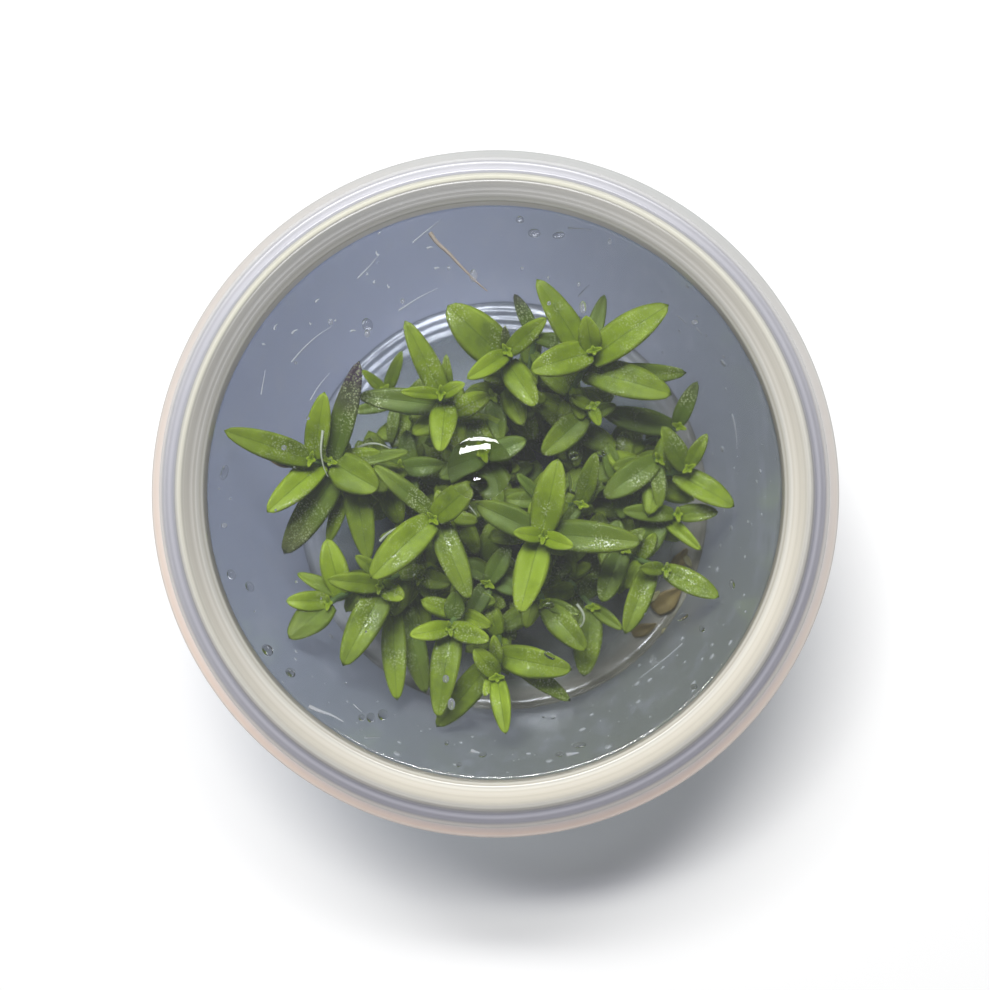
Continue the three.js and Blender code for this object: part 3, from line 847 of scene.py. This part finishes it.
shell, layers = grown_shell()
for turn in (0, 180):
    lower_leaf = (turn, PAIR_LENGTH, PAIR_WIDTH, PAIR_RISE, 0, 0)
    add_leaf(shell, layers, Vector(), lower_leaf, PAIR_TWIST, PAIR_STATIONS, PAIR_ACROSS)
pair = closed_object("leaf_pair", shell, skin)
pair.data.attributes.remove(pair.data.attributes["tone"])
lower_stems = []
for crown, *leaves in shoots.values():
    start = 1 - ((len(leaves) + 1) // 2 * NODE_SPACING + 1.0) / stem_height(crown)
    shares = [start + (LOWEST_PAIR - start) * step / PATH_STEPS for step in range(PATH_STEPS + 1)]
    lower_stems.append([stem_point(crown, share)[0] for share in shares])
values = {"Leaf pair": pair, "Spacing": PAIR_SPACING * MM, "Reach": PAIR_LENGTH * MM}
values |= {"Seed": 46, "Skin": skin}
undergrowth = grown("undergrowth", path_mesh("stem_paths", lower_stems), leaf_pairs(), values)
bpy.data.objects.remove(pair)
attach(undergrowth, "root")

# Fine roots
# Thin pale roots that spread and curl in the gel from the foot of each stem, a few young ones
# in the air beside the upper leaves, and one tan root thread that clings under the lid.
# Geometry Nodes sweeps a round section along their paths.
ROOT_RADIUS = 0.13
AIR_ROOT_RADIUS = 0.2
THREAD_RADIUS = 0.3
ROOTS_PER_SHOOT = 3
ROOT_STEPS = 12
ROOT_STEP = 0.75
ROOT_HEIGHTS = (3.2, 6.6)
ROOT_REACH = 31.0
SHORTEST_ROOT = 5
ROOT_COLOUR = linear("c9c4a4")
AIR_ROOT_COLOUR = linear("e8edcf")
THREAD_COLOUR = linear("c9b8a2")


def strands():
    bench, given = growth("strands", {"Radius": "Float", "Sides": "Int", "Skin": "Material"})
    paths = bench.node("GeometryNodeMeshToCurve", inputs={"Mesh": given["Geometry"]})
    share = bench.node("GeometryNodeSplineParameter")
    radius = given["Radius"] * (1.1 - share * 0.8)
    section = {"Resolution": given["Sides"], "Radius": 1.0}
    ring = bench.node("GeometryNodeCurvePrimitiveCircle", inputs=section)
    sweep = {"Curve": paths, "Profile Curve": ring, "Scale": radius, "Fill Caps": True}
    close_growth(bench, bench.node("GeometryNodeCurveToMesh", inputs=sweep), given["Skin"])
    return bench


def rounded(path, cuts=3):
    """The path with its corners cut until it runs in a smooth curve between its two ends."""
    points = [Vector(point) for point in path]
    for _ in range(cuts):
        smooth = [points[0]]
        for before, after in zip(points, points[1:]):
            smooth += [before * 0.75 + after * 0.25, before * 0.25 + after * 0.75]
        points = smooth + [points[-1]]
    return points


def fibre_skin(name, colour, roughness):
    material, bench, place = new_material(name)
    patch = noise(bench, place, 700.0, 3.0)
    dark = [0.7 * part for part in colour[:3]] + [1.0]
    fibre = {"Base Color": patch.blend(dark, colour), "Roughness": roughness + patch * 0.2}
    strand = principled(bench, fibre)
    close_material(bench, glowing(bench, strand, 0.2, colour))
    return material


growing = strands()


def swept(name, paths, radius, sides, material):
    values = {"Radius": radius * MM, "Sides": sides, "Skin": material}
    return grown(name, path_mesh(name + "_paths", paths), growing, values)


spread = random.Random(31)
root_paths = []
for crown, *leaves in shoots.values():
    foot, _ = stem_point(crown, 0.02)
    for root in range(ROOTS_PER_SHOOT):
        heading = spread.uniform(0, 2 * math.pi)
        point = foot.copy()
        path = [point.copy()]
        for step in range(ROOT_STEPS):
            heading += spread.uniform(-0.7, 0.7)
            point += around(ROOT_STEP, heading, 0)
            point.z = min(max(point.z + spread.uniform(-0.45, 0.4), ROOT_HEIGHTS[0]), ROOT_HEIGHTS[1])
            if point.xy.length > ROOT_REACH:
                break
            path.append(point.copy())
        if len(path) >= SHORTEST_ROOT:
            root_paths.append(path)
root_skin = fibre_skin("root_skin", ROOT_COLOUR, 0.35)
roots = swept("fine_roots", root_paths, ROOT_RADIUS, 6, root_skin)
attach(roots, "root")
thread_path = [
    (-9.2, 37.0, 55.2), (-8.3, 35.6, 55.2), (-6.5, 34.1, 55.1), (-5.3, 32.7, 55.2),
    (-4.0, 31.4, 55.2), (-2.4, 29.8, 55.0), (-1.1, 28.8, 54.6),
]
thread_skin = fibre_skin("thread_skin", THREAD_COLOUR, 0.5)
thread = swept("root_thread", [rounded(thread_path)], THREAD_RADIUS, 8, thread_skin)
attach(thread, "root")
AIR_ROOTS = [
    [(-21.9, 7.5, 35.4), (-20.4, 8.2, 36), (-18.9, 8.4, 36.3), (-17.3, 8, 36), (-16.1, 7.3, 35.2)],
    [(-17.5, -6.6, 42), (-16.3, -5.5, 42.9), (-14.9, -4.7, 43.4), (-13.5, -4.1, 43.5),
     (-12.5, -4.2, 43.2)],
    [(-25.6, 9.6, 45.6), (-26, 6.7, 45.4), (-25.7, 4.4, 44.6), (-25.1, 2.9, 43.6)],
    [(12, -16.2, 33), (13.2, -17.8, 32.6), (13, -19.4, 32), (11.6, -20.4, 31.2), (10.2, -20.6, 30.2)],
    [(-7.6, 1.9, 30), (-6.6, 0.6, 30.8), (-5, -0.6, 30.9), (-3.6, -2.4, 30.2)],
    [(-1.4, -9.2, 28), (0.2, -8.4, 28.6), (1.8, -8.8, 28.6), (2.8, -10.2, 28)],
]
air_paths = [rounded(path) for path in AIR_ROOTS]
air_root_skin = fibre_skin("air_root_skin", AIR_ROOT_COLOUR, 0.3)
air_roots = swept("air_roots", air_paths, AIR_ROOT_RADIUS, 8, air_root_skin)
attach(air_roots, "root")

# Withered leaves
# Old leaves that dropped off and lie limp and brown on the gel, at the right of the tuft, and
# small scraps of leaf: brown ones under the leftmost shoot, and straw-coloured ones on the
# gel. Each is (place of its base, (turn, length, width, rise)), and is made as a leaf is.
WITHERED_LEAVES = [
    ((25.2, -17.8, 8.0), (40, 6.3, 3.6, 8)),
    ((21.5, -21.6, 8.0), (20, 4.6, 2.2, 8)),
    ((28.5, -11.0, 8.0), (60, 4.5, 2.4, 12)),
]
BROWN_SCRAPS = [
    ((-31.0, 5.2, 37.3), (172, 3.6, 1.8, -5)),
    ((-31.6, 6.6, 37.6), (150, 2.4, 1.2, 0)),
]
PALE_SCRAPS = [
    ((27.0, -20.6, 8.4), (-80, 2.6, 1.3, 5)),
    ((30.4, -8.6, 9.2), (-60, 2.2, 1.1, 10)),
    ((29.6, -10.8, 9.0), (-100, 2.4, 1.1, 5)),
    ((23.6, -16.2, 9.4), (35, 3.2, 1.5, 15)),
]
LIMP_TWIST = 0.9


def withered_skin(name, dark, light):
    material, bench, place = new_material(name)
    patch = noise(bench, place, 500.0, 4.0, 0.7)
    limp = {
        "Base Color": patch.blend(dark, light),
        "Roughness": 0.35 + patch * 0.3,
        "Normal": bumpy(bench, patch, 0.6, 0.0003),
    }
    close_material(bench, principled(bench, limp))
    return material


def limp_leaves(name, places, material):
    shell, layers = grown_shell()
    for base, lie in places:
        add_leaf(shell, layers, Vector(base), (*lie, 0.2, 1.0), LIMP_TWIST)
    return closed_object(name, shell, material)


brown = withered_skin("withered_skin", linear("6a5130"), linear("b5a45e"))
for order, place in enumerate(WITHERED_LEAVES, 1):
    dropped = limp_leaves(f"withered_blade_{order}", [place], brown)
    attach(dropped, "root")
    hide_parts(f"withered_leaf_{order}")
straw = withered_skin("straw_skin", linear("a39a5c"), linear("d8d39a"))
for name, places, material in (
    ("brown_scraps", BROWN_SCRAPS, brown),
    ("pale_scraps", PALE_SCRAPS, straw),
):
    torn = limp_leaves(name, places, material)
    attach(torn, "root")

# Lid
# A thin clear plastic lid in one piece. Its flat panel is sunk inside a hollow ridge, and its
# skirt ends in a flange that clips under the cup's rim. The ridge and flange are milky, with
# painted light, shade and reflections in their colour.
LID_TOP = 60.0
LID_WALL = 0.9
PANEL_TOP = 56.4
PANEL_RADIUS = 40.5
PLUG_RADIUS = 41.6
RIDGE_INNER_RADIUS = 40.7
RIDGE_OUTER_RADIUS = 44.4
CHANNEL_TOP = 58.0
SKIRT_RADIUS = 47.4
FLANGE_RADIUS = 49.4
FLANGE_TOP = 52.8
SKIRT_BOTTOM = 51.2
PANEL_TINT = linear("f4f6fa")
EDGE_CLEAR = linear("dcdce0")
EDGE_GLOW = linear("e6e4dc")
EDGE_START = 40.0
EDGE_SPAN = 10.0
# The milky edge's colour also holds painted light: it is cream on the ridge with pale lines
# that are painted highlights, purple-grey in the channel as a painted view of a bluish
# backdrop through the plastic, pinkish on the flange as a painted reflection of warm
# surroundings, and greyer and paler on the far side as painted light and shade.
# Each band is (percent of EDGE_SPAN outwards from EDGE_START, near colour, far colour).
EDGE_PAINTED_BANDS = [
    (0, "e4e2da", "ffffff"), (6, "e4e2da", "ffffff"), (8, "fffdf4", "e4e5e3"),
    (11, "cdc8ba", "aaaaa6"), (14, "fffdf4", "8c8c8a"), (22, "f0eadc", "6e6e6d"),
    (36, "e8e3d6", "7e7e7c"), (40, "fffdf8", "fffdea"), (47, "fffdf8", "fffdea"),
    (50, "9393a2", "c0c1c9"), (54, "8e8e9c", "bbbcc6"), (58, "b4b4c0", "cfcfd8"),
    (62, "8f8f9d", "bbbcc6"), (66, "9797a4", "c2c3cb"), (70, "fff8f2", "e6e6e6"),
    (77, "fff8f2", "e6e6e6"), (80, "fdf2ec", "c8c8c8"), (88, "f5dfd0", "c4c6c6"),
    (92, "efe3db", "cbcdcd"),
]


def lid_plastic():
    material, bench, place = new_material("lid_plastic")
    cloud = noise(bench, place, 45.0)
    plastic = principled(
        bench,
        {
            "Base Color": PANEL_TINT,
            "Roughness": 0.03 + cloud * 0.03,
            "IOR": PLASTIC_IOR,
            "Transmission Weight": 0.99,
            "Normal": bumpy(bench, cloud, 0.06, 0.0006),
        },
    )
    close_material(bench, lit_through(bench, plastic, tinted(bench, PANEL_TINT)))
    return material


def lid_edge_plastic():
    material, bench, place = new_material("lid_edge_plastic")
    across, away, _ = place.split()
    radius = place.from_axis()
    span = (radius - EDGE_START * MM) * (1 / (EDGE_SPAN * MM))

    def banded(side):
        stops = [(band[0] / 100, linear(band[side])) for band in EDGE_PAINTED_BANDS]
        return bench.node("ShaderNodeValToRGB", {"stops": stops}, {"Fac": span})

    is_flange = ((span - 0.68) * 50.0).clamped()
    # Painted light and shade: the bands turn to their far colours on the far side, and from side to
    # side, leaning one way on the flange and the other way elsewhere.
    far_side_painted_light = 0.42 + away * 12.0 + across * (is_flange * 9.0 - 5.5)
    milky = far_side_painted_light.clamped().blend(banded(1), banded(2))
    # Fine rings round the axis, some paler and some darker than the band that they lie in.
    drawn = {"W": radius, "Scale": 1900.0, "Detail": 2.0}
    lines = bench.node("ShaderNodeTexNoise", {"noise_dimensions": "1D"}, drawn)
    pale = ((lines - 0.54) * 7.0).clamped() * 0.2
    dim = ((0.46 - lines) * 7.0).clamped() * 0.15
    cloud = noise(bench, place, 60.0)
    plastic = principled(
        bench,
        {
            "Base Color": dim.blend(pale.blend(milky, (1, 1, 1, 1)), (0.22, 0.22, 0.22, 1)),
            "Roughness": 0.2 + cloud * 0.08,
            "IOR": PLASTIC_IOR,
            "Transmission Weight": 0.3,
            "Normal": bumpy(bench, cloud, 0.1, 0.0006),
        },
    )
    inner_side = ((0.085 - span) * 30.0).clamped()
    soaked = glowing(bench, plastic, 0.3 + inner_side * 0.45, EDGE_GLOW)
    close_material(bench, lit_through(bench, soaked, tinted(bench, EDGE_CLEAR)))
    return material


skirt_inside = RIM_RADIUS + 0.5
lid = turned(
    "lid_shell",
    [
        (0, PANEL_TOP - LID_WALL),
        (PANEL_RADIUS + 0.3, PANEL_TOP - LID_WALL),
        (PLUG_RADIUS, PANEL_TOP - 0.1),
        (RIDGE_INNER_RADIUS + 0.9, LID_TOP - LID_WALL),
        (RIDGE_OUTER_RADIUS - 1.0, LID_TOP - LID_WALL),
        (RIDGE_OUTER_RADIUS - 0.5, CHANNEL_TOP - LID_WALL),
        (skirt_inside - 0.4, CHANNEL_TOP - LID_WALL),
        (skirt_inside, CHANNEL_TOP - 1.4),
        (skirt_inside, FLANGE_TOP + 0.9),
        (RIM_RADIUS - 0.1, FLANGE_TOP),
        (skirt_inside, SKIRT_BOTTOM),
        (FLANGE_RADIUS, SKIRT_BOTTOM),
        (FLANGE_RADIUS, FLANGE_TOP),
        (SKIRT_RADIUS + 0.3, FLANGE_TOP + 0.4),
        (SKIRT_RADIUS, CHANNEL_TOP - 0.9),
        (SKIRT_RADIUS - 0.7, CHANNEL_TOP),
        (RIDGE_OUTER_RADIUS + 0.8, CHANNEL_TOP - 0.06),
        (RIDGE_OUTER_RADIUS, LID_TOP - 0.5),
        (RIDGE_OUTER_RADIUS - 0.7, LID_TOP),
        (RIDGE_INNER_RADIUS + 0.4, LID_TOP - 0.12),
        (RIDGE_INNER_RADIUS, LID_TOP - 0.5),
        (PANEL_RADIUS + 0.1, PANEL_TOP + 0.4),
        (PANEL_RADIUS, PANEL_TOP),
        (0, PANEL_TOP),
    ],
    0.25,
    lid_plastic(),
    lid_edge_plastic(),
)
for face in lid.data.polygons:
    beyond_wall = math.hypot(face.center.x, face.center.y) > (PLUG_RADIUS + 0.1) * MM
    if beyond_wall or face.center.z > (PANEL_TOP + 0.5) * MM:
        face.material_index = 1
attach(lid, "root")
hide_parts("lid")

# Condensation
# Water on the inside of the wall and under the lid's panel: fine beads, marks where it ran,
# specks and larger drops. Geometry Nodes scatters flattened beads over both surfaces, more of
# them towards the lower right where Lean is above zero, and towards the upper left below it.
BEAD_DENSITY = 26000.0
SMALLEST_BEAD = 0.12
LARGEST_BEAD = 0.6
WATER_IOR = 1.33
WATER_TINT = (0.97, 0.97, 0.97, 1)
WATER_GLOW = linear("f4f6f2")
BAND_SIDES = 96
BAND_RADII = (39.6, 33.0, 26.0)
BEADED_HEIGHTS = (13, 27, 41, 54)
BEADED_PANEL = 55.35
MARKED_PANEL = 55.3
MARK_STEPS = 12


def clear_water(name, clearness):
    material, bench, place = new_material(name)
    ripple = noise(bench, place, 400.0)
    water = {"Roughness": ripple * 0.02, "IOR": WATER_IOR, "Transmission Weight": clearness}
    surface = principled(bench, water)
    soaked = glowing(bench, surface, 0.5 * (1 - clearness), WATER_GLOW)
    close_material(bench, lit_through(bench, soaked, tinted(bench, WATER_TINT)))
    return material


def beads():
    kinds = {"Density": "Float", "Lean": "Float", "Smallest": "Float", "Largest": "Float"}
    bench, given = growth("beads", {**kinds, "Seed": "Int", "Water": "Material"})
    rightward, away, _ = bench.node("GeometryNodeInputPosition").split()
    crowd = (0.5 + (rightward - away) * given["Lean"] * 13.0).clamped() * given["Density"]
    scatter = {"Mesh": given["Geometry"], "Density": crowd, "Seed": given["Seed"]}
    points = bench.node("GeometryNodeDistributePointsOnFaces", inputs=scatter)
    luck = chance(bench, given["Seed"], 0.0, 1.0, 1)
    size = given["Smallest"] + (given["Largest"] - given["Smallest"]) * luck * luck * luck
    stretch = chance(bench, given["Seed"], 0.7, 1.7, 2)
    scale = bench.node("ShaderNodeCombineXYZ", inputs={"X": size, "Y": size * stretch, "Z": size * 0.4})
    bead = bench.node("GeometryNodeMeshIcoSphere", inputs={"Radius": 1.0, "Subdivisions": 3})
    smooth = bench.node("GeometryNodeSetShadeSmooth", inputs={0: bead, "Shade Smooth": True})
    set_down = {"Points": points, "Rotation": points.sockets()["Rotation"], "Scale": scale}
    wet = bench.node("GeometryNodeInstanceOnPoints", inputs={**set_down, "Instance": smooth})
    close_growth(bench, wet, given["Water"])
    return bench


def ring_strip(name, rings):
    """A band between circles given as (radius, height) in millimetres, open at both edges."""
    points, faces = [], []
    for radius, height in rings:
        for side in range(BAND_SIDES):
            points.append(around(radius, 2 * math.pi * side / BAND_SIDES, height) * MM)
    for first in range(0, len(points) - BAND_SIDES, BAND_SIDES):
        second = first + BAND_SIDES
        for side in range(BAND_SIDES):
            following = (side + 1) % BAND_SIDES
            faces.append((first + side, first + following, second + following, second + side))
    mesh = bpy.data.meshes.new(name)
    mesh.from_pydata(points, [], faces)
    return mesh


water = clear_water("clear_water", 1.0)
# The mist and haze water is milky, as fogged water is, and its white diffuse share is also a painted
# highlight, standing in for the light that clear drops focus and glint with.
mist = clear_water("mist_water", 0.4)
haze = clear_water("haze_water", 0.86)
beading = beads()
small = {"Density": BEAD_DENSITY, "Smallest": SMALLEST_BEAD * MM, "Largest": LARGEST_BEAD * MM}
wall_band = ring_strip("wall_band", [(wall_radius(height) - 0.1, height) for height in BEADED_HEIGHTS])
on_wall = {**small, "Lean": 1.0, "Seed": 7, "Water": mist}
wall_beads = grown("wall_beads", wall_band, beading, on_wall)
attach(wall_beads, "root")
panel_band = ring_strip("panel_band", [(radius, BEADED_PANEL) for radius in BAND_RADII])
on_panel = {**small, "Lean": -1.0, "Seed": 11, "Water": haze}
panel_beads = grown("panel_beads", panel_band, beading, on_panel)
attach(panel_beads, "root")

# Marks of water that ran along the wall, each as (start angle, end angle, start height, end
# height, bow): bow lifts the middle of the mark.
WALL_MARKS = [
    (-118.5, -116.0, 46.5, 43.0, 0.0), (-117.0, -115.5, 52.0, 49.5, 0.0),
    (20.0, 12.0, 33.0, 30.0, 0.4), (-38.0, -52.0, 24.0, 20.0, -0.6),
    (75.0, 70.0, 47.0, 49.5, 0.0), (69.5, 67.5, 17.9, 25.3, 0.5),
    (45.5, 42.7, 36.8, 36.9, 0.2), (40.5, 38.5, 39.4, 39.1, 0.3),
]
# Marks under the panel, as points (x, y): thin smears, then broad ones.
PANEL_MARKS = [
    [(-13.7, 25.9), (-10.8, 27.8), (-8.1, 29.1)],
    [(-28.9, 18.6), (-27.3, 20.5), (-25.1, 22.5), (-23.1, 23.7)],
    [(-26.2, 13.2), (-25.0, 15.3), (-23.5, 17.0)],
    [(-11.7, 35.6), (-9.5, 37.4), (-7.7, 38.8)],
    [(-19.5, 30.5), (-17.8, 32.2), (-16.4, 33.9)],
    [(-33.2, 14.0), (-32.6, 17.5)],
    [(-20.1, -30.0), (-18.9, -31.1)],
]
BROAD_MARKS = [
    [(-26.4, -30.3), (-24.6, -31.1), (-23.2, -31.5), (-21.5, -32.5)],
    [(10.2, -37.2), (11.9, -36.9)],
    [(-3.4, -36.6), (-2.2, -36.9)],
]
# Specks under the panel, each as (x, y, turn, half length).
SPECKS = [
    (-16.3, 37.2, 70, 0.5), (-20.4, 35.4, 20, 0.2), (-16.7, 34.1, 110, 0.35), (-18.1, 31.1, 80, 0.15),
    (-17.1, 30.0, 70, 0.25), (-15.1, 29.4, 120, 0.3), (-25.2, 27.3, 40, 0.35), (-31.1, 23.6, 60, 0.45),
    (-28.4, 22.9, 35, 0.5), (-26.2, 24.1, 130, 0.2), (-20.1, 23.0, 5, 0.4), (-22.6, 24.5, 50, 0.15),
    (-32.8, 21.1, 0, 0.2), (-8.2, 31.9, 5, 0.35), (-9.2, 34.8, 10, 0.45),
]


def speck(x, y, turn, reach):
    across, up = reach * math.cos(math.radians(turn)), reach * math.sin(math.radians(turn))
    return [(x - across, y - up), (x - 0.4 * up, y + 0.4 * across), (x + across, y + up)]


def wall_mark(start_angle, end_angle, start_height, end_height, bow):
    points = []
    for step in range(MARK_STEPS + 1):
        share = step / MARK_STEPS
        angle = math.radians(start_angle + share * (end_angle - start_angle))
        height = start_height + share * (end_height - start_height) + 4 * bow * share * (1 - share)
        points.append(around(wall_radius(height) - 0.12, angle, height))
    return points


def panel_marks(paths):
    return [rounded([(x, y, MARKED_PANEL) for x, y in path]) for path in paths]


for name, marks, radius in (
    ("wall_marks", [wall_mark(*mark) for mark in WALL_MARKS], 0.1),
    ("panel_marks", panel_marks(PANEL_MARKS), 0.09),
    ("broad_marks", panel_marks(BROAD_MARKS), 0.3),
    ("specks", panel_marks(speck(*place) for place in SPECKS), 0.17),
):
    smears = swept(name, marks, radius, 8, mist)
    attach(smears, "root")

# Larger drops under the panel, each as (x, y, z, radii across, along and up, turn).
LARGE_DROPS = [
    (-18.1, 23.9, 55.4, 0.75, 0.95, 0.16, 20), (-38.4, 2.9, 55.3, 0.5, 1.1, 0.2, -15),
    (-37.4, -11.6, 55.4, 0.6, 0.75, 0.2, 30), (-34.8, -13.3, 55.4, 0.55, 0.8, 0.2, 30),
    (-32.3, -22.3, 55.4, 0.7, 0.9, 0.2, 40), (-29.0, -25.5, 55.4, 0.6, 0.8, 0.2, 50),
    (-15.9, -31.5, 55.4, 0.7, 0.8, 0.2, 0), (-17.6, -31.9, 55.4, 0.6, 0.7, 0.2, 0),
    (-18.9, -31.9, 55.4, 0.45, 0.5, 0.2, 0), (3.6, 38.8, 55.4, 0.6, 0.5, 0.2, 0),
    (5.6, 36.9, 55.4, 0.9, 0.6, 0.2, 0), (9.1, 36.6, 55.4, 0.9, 0.5, 0.2, 10),
    (-6.8, -35.5, 55.4, 0.35, 0.35, 0.2, 0), (-5.1, -38.6, 55.4, 0.4, 0.35, 0.2, 0),
    (-1.7, -37.2, 55.4, 0.6, 0.35, 0.2, 10), (12.0, -35.8, 55.4, 1.0, 0.4, 0.2, 5),
    (9.2, -37.1, 55.4, 0.6, 0.4, 0.2, 0), (-32.2, -22.4, 55.4, 0.7, 0.8, 0.2, 40),
    (-28.9, -25.6, 55.4, 0.4, 0.6, 0.2, 50), (33.7, -13.0, 55.4, 0.4, 0.7, 0.2, 10),
    (29.4, -19.3, 55.4, 0.4, 0.5, 0.2, 30), (28.3, -27.5, 55.4, 0.5, 0.4, 0.2, 0),
    (26.6, -17.6, 55.4, 0.9, 0.5, 0.1, 25), (7.7, -16.0, 55.4, 0.8, 0.5, 0.1, 0),
    (7.8, -23.1, 55.4, 0.9, 0.5, 0.1, -30), (11.2, 5.3, 55.4, 0.7, 0.6, 0.1, 0),
    (10.8, 1.6, 55.4, 0.35, 1.3, 0.1, 5), (15.2, 5.6, 55.4, 0.7, 0.5, 0.1, 0),
]
shell = bmesh.new()
for *centre, across, along, up, turn in LARGE_DROPS:
    sit = Matrix.Translation(Vector(centre) * MM) @ Matrix.Rotation(math.radians(turn), 4, "Z")
    size = Matrix.Diagonal((across * MM, along * MM, up * MM, 1))
    bmesh.ops.create_icosphere(shell, subdivisions=4, radius=1, matrix=sit @ size)
for face in shell.faces:
    face.smooth = True
large_drops = closed_object("large_drops", shell, water)
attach(large_drops, "root")

# Water drop
# One wide, shallow drop that stands on the panel above the tuft and magnifies what is below,
# with a small swell near its lower edge, where a second drop ran into it. Its top falls by
# DOME r^2 + BROW r^4 from its middle, so it steepens towards its rim.
DROP_CENTRE = Vector((-2.1, 3.5, 0))
DROP_RADIUS = 4.6
DROP_DOME = 0.0192
DROP_BROW = 0.0000785
DROP_RIM = 0.03
DROP_RINGS = 14
SWELL_CENTRE = (-2.36, 1.21)
SWELL_BREADTHS = (1.6, 0.9)
SWELL_HEIGHT = 0.2
drop_bottom = PANEL_TOP + 0.02
outline = [(0, drop_bottom)]
for step in range(DROP_RINGS + 1):
    radius = DROP_RADIUS * (1 - step / DROP_RINGS)
    dome = DROP_DOME * (DROP_RADIUS**2 - radius**2) + DROP_BROW * (DROP_RADIUS**4 - radius**4)
    outline.append((radius, drop_bottom + DROP_RIM + dome))
wide_drop = turned("wide_drop", outline, 0.05, water)
for vertex in wide_drop.data.vertices:
    vertex.co += DROP_CENTRE * MM
    x, y, z = vertex.co / MM
    if z > drop_bottom + 0.02:
        across = (x - SWELL_CENTRE[0]) / SWELL_BREADTHS[0]
        along = (y - SWELL_CENTRE[1]) / SWELL_BREADTHS[1]
        vertex.co.z += SWELL_HEIGHT * MM * math.exp(-(across**2) - along**2)
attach(wide_drop, "root")

# Floor, light and camera
# A plain white table top under two long soft lamps from the upper left, in a dim pale room,
# seen from straight above through a lens that is shifted towards the cup.
TABLE_REACH = 3.0
TABLE_WHITE = (0.86, 0.86, 0.86, 1)
ROOM_LIGHT = 0.17
FOCAL_PIXELS = 1859
FRAME_PIXELS = 990
SHIFT_PIXELS = (-54, 74)
SENSOR_WIDTH = 36
EYE_PLACE = Vector((7.7, -10.8, 319.7))
floor_mesh = bpy.data.meshes.new("table_top")
sides = [(-1, -1, 0), (1, -1, 0), (1, 1, 0), (-1, 1, 0)]
floor_mesh.from_pydata([Vector(corner) * TABLE_REACH for corner in sides], [], [(0, 1, 2, 3)])
floor_paint, bench, _ = new_material("white_table")
matt = {"Base Color": TABLE_WHITE, "Roughness": 0.7}
close_material(bench, principled(bench, matt))
table_top = plain_object("table_top", floor_mesh, floor_paint)


def strip_lamp(name, zenith, bearing, turn, width, depth, power):
    """A long soft lamp a metre away, at an angle from straight up and a bearing from +X, its
    long side turned anticlockwise from +X."""
    lamp = bpy.data.lights.new(name, "AREA")
    lamp.shape = "RECTANGLE"
    lamp.size = width
    lamp.size_y = depth
    lamp.energy = power
    lean = math.radians(zenith)
    outward = around(math.sin(lean), math.radians(bearing), math.cos(lean))
    holder = bpy.data.objects.new(name, lamp)
    holder.location = outward
    facing = outward.to_track_quat("Z", "Y")
    roll = math.radians(turn + 90 - bearing)
    holder.rotation_euler = (facing @ Quaternion((0, 0, 1), roll)).to_euler()
    bpy.context.collection.objects.link(holder)


strip_lamp("near_strip", zenith=17.3, bearing=109, turn=9, width=0.37, depth=0.075, power=6.0)
strip_lamp("far_strip", zenith=24.3, bearing=96, turn=-2, width=0.50, depth=0.075, power=6.0)

scene = bpy.context.scene
scene.world = bpy.data.worlds.new("studio")
scene.world.use_nodes = True
backdrop = scene.world.node_tree.nodes["Background"].inputs
backdrop["Color"].default_value = (1, 1, 1, 1)
backdrop["Strength"].default_value = ROOM_LIGHT
scene.view_settings.view_transform = "Standard"
scene.cycles.caustics_refractive = False
scene.cycles.caustics_reflective = False
scene.cycles.max_bounces = 20
scene.cycles.transmission_bounces = 16
scene.cycles.transparent_max_bounces = 24

eye = bpy.data.cameras.new("camera")
eye.sensor_width = SENSOR_WIDTH
eye.lens = SENSOR_WIDTH * FOCAL_PIXELS / FRAME_PIXELS
eye.shift_x = SHIFT_PIXELS[0] / FRAME_PIXELS
eye.shift_y = SHIFT_PIXELS[1] / FRAME_PIXELS
camera = bpy.data.objects.new("camera", eye)
camera.location = EYE_PLACE * MM
bpy.context.collection.objects.link(camera)
scene.camera = camera
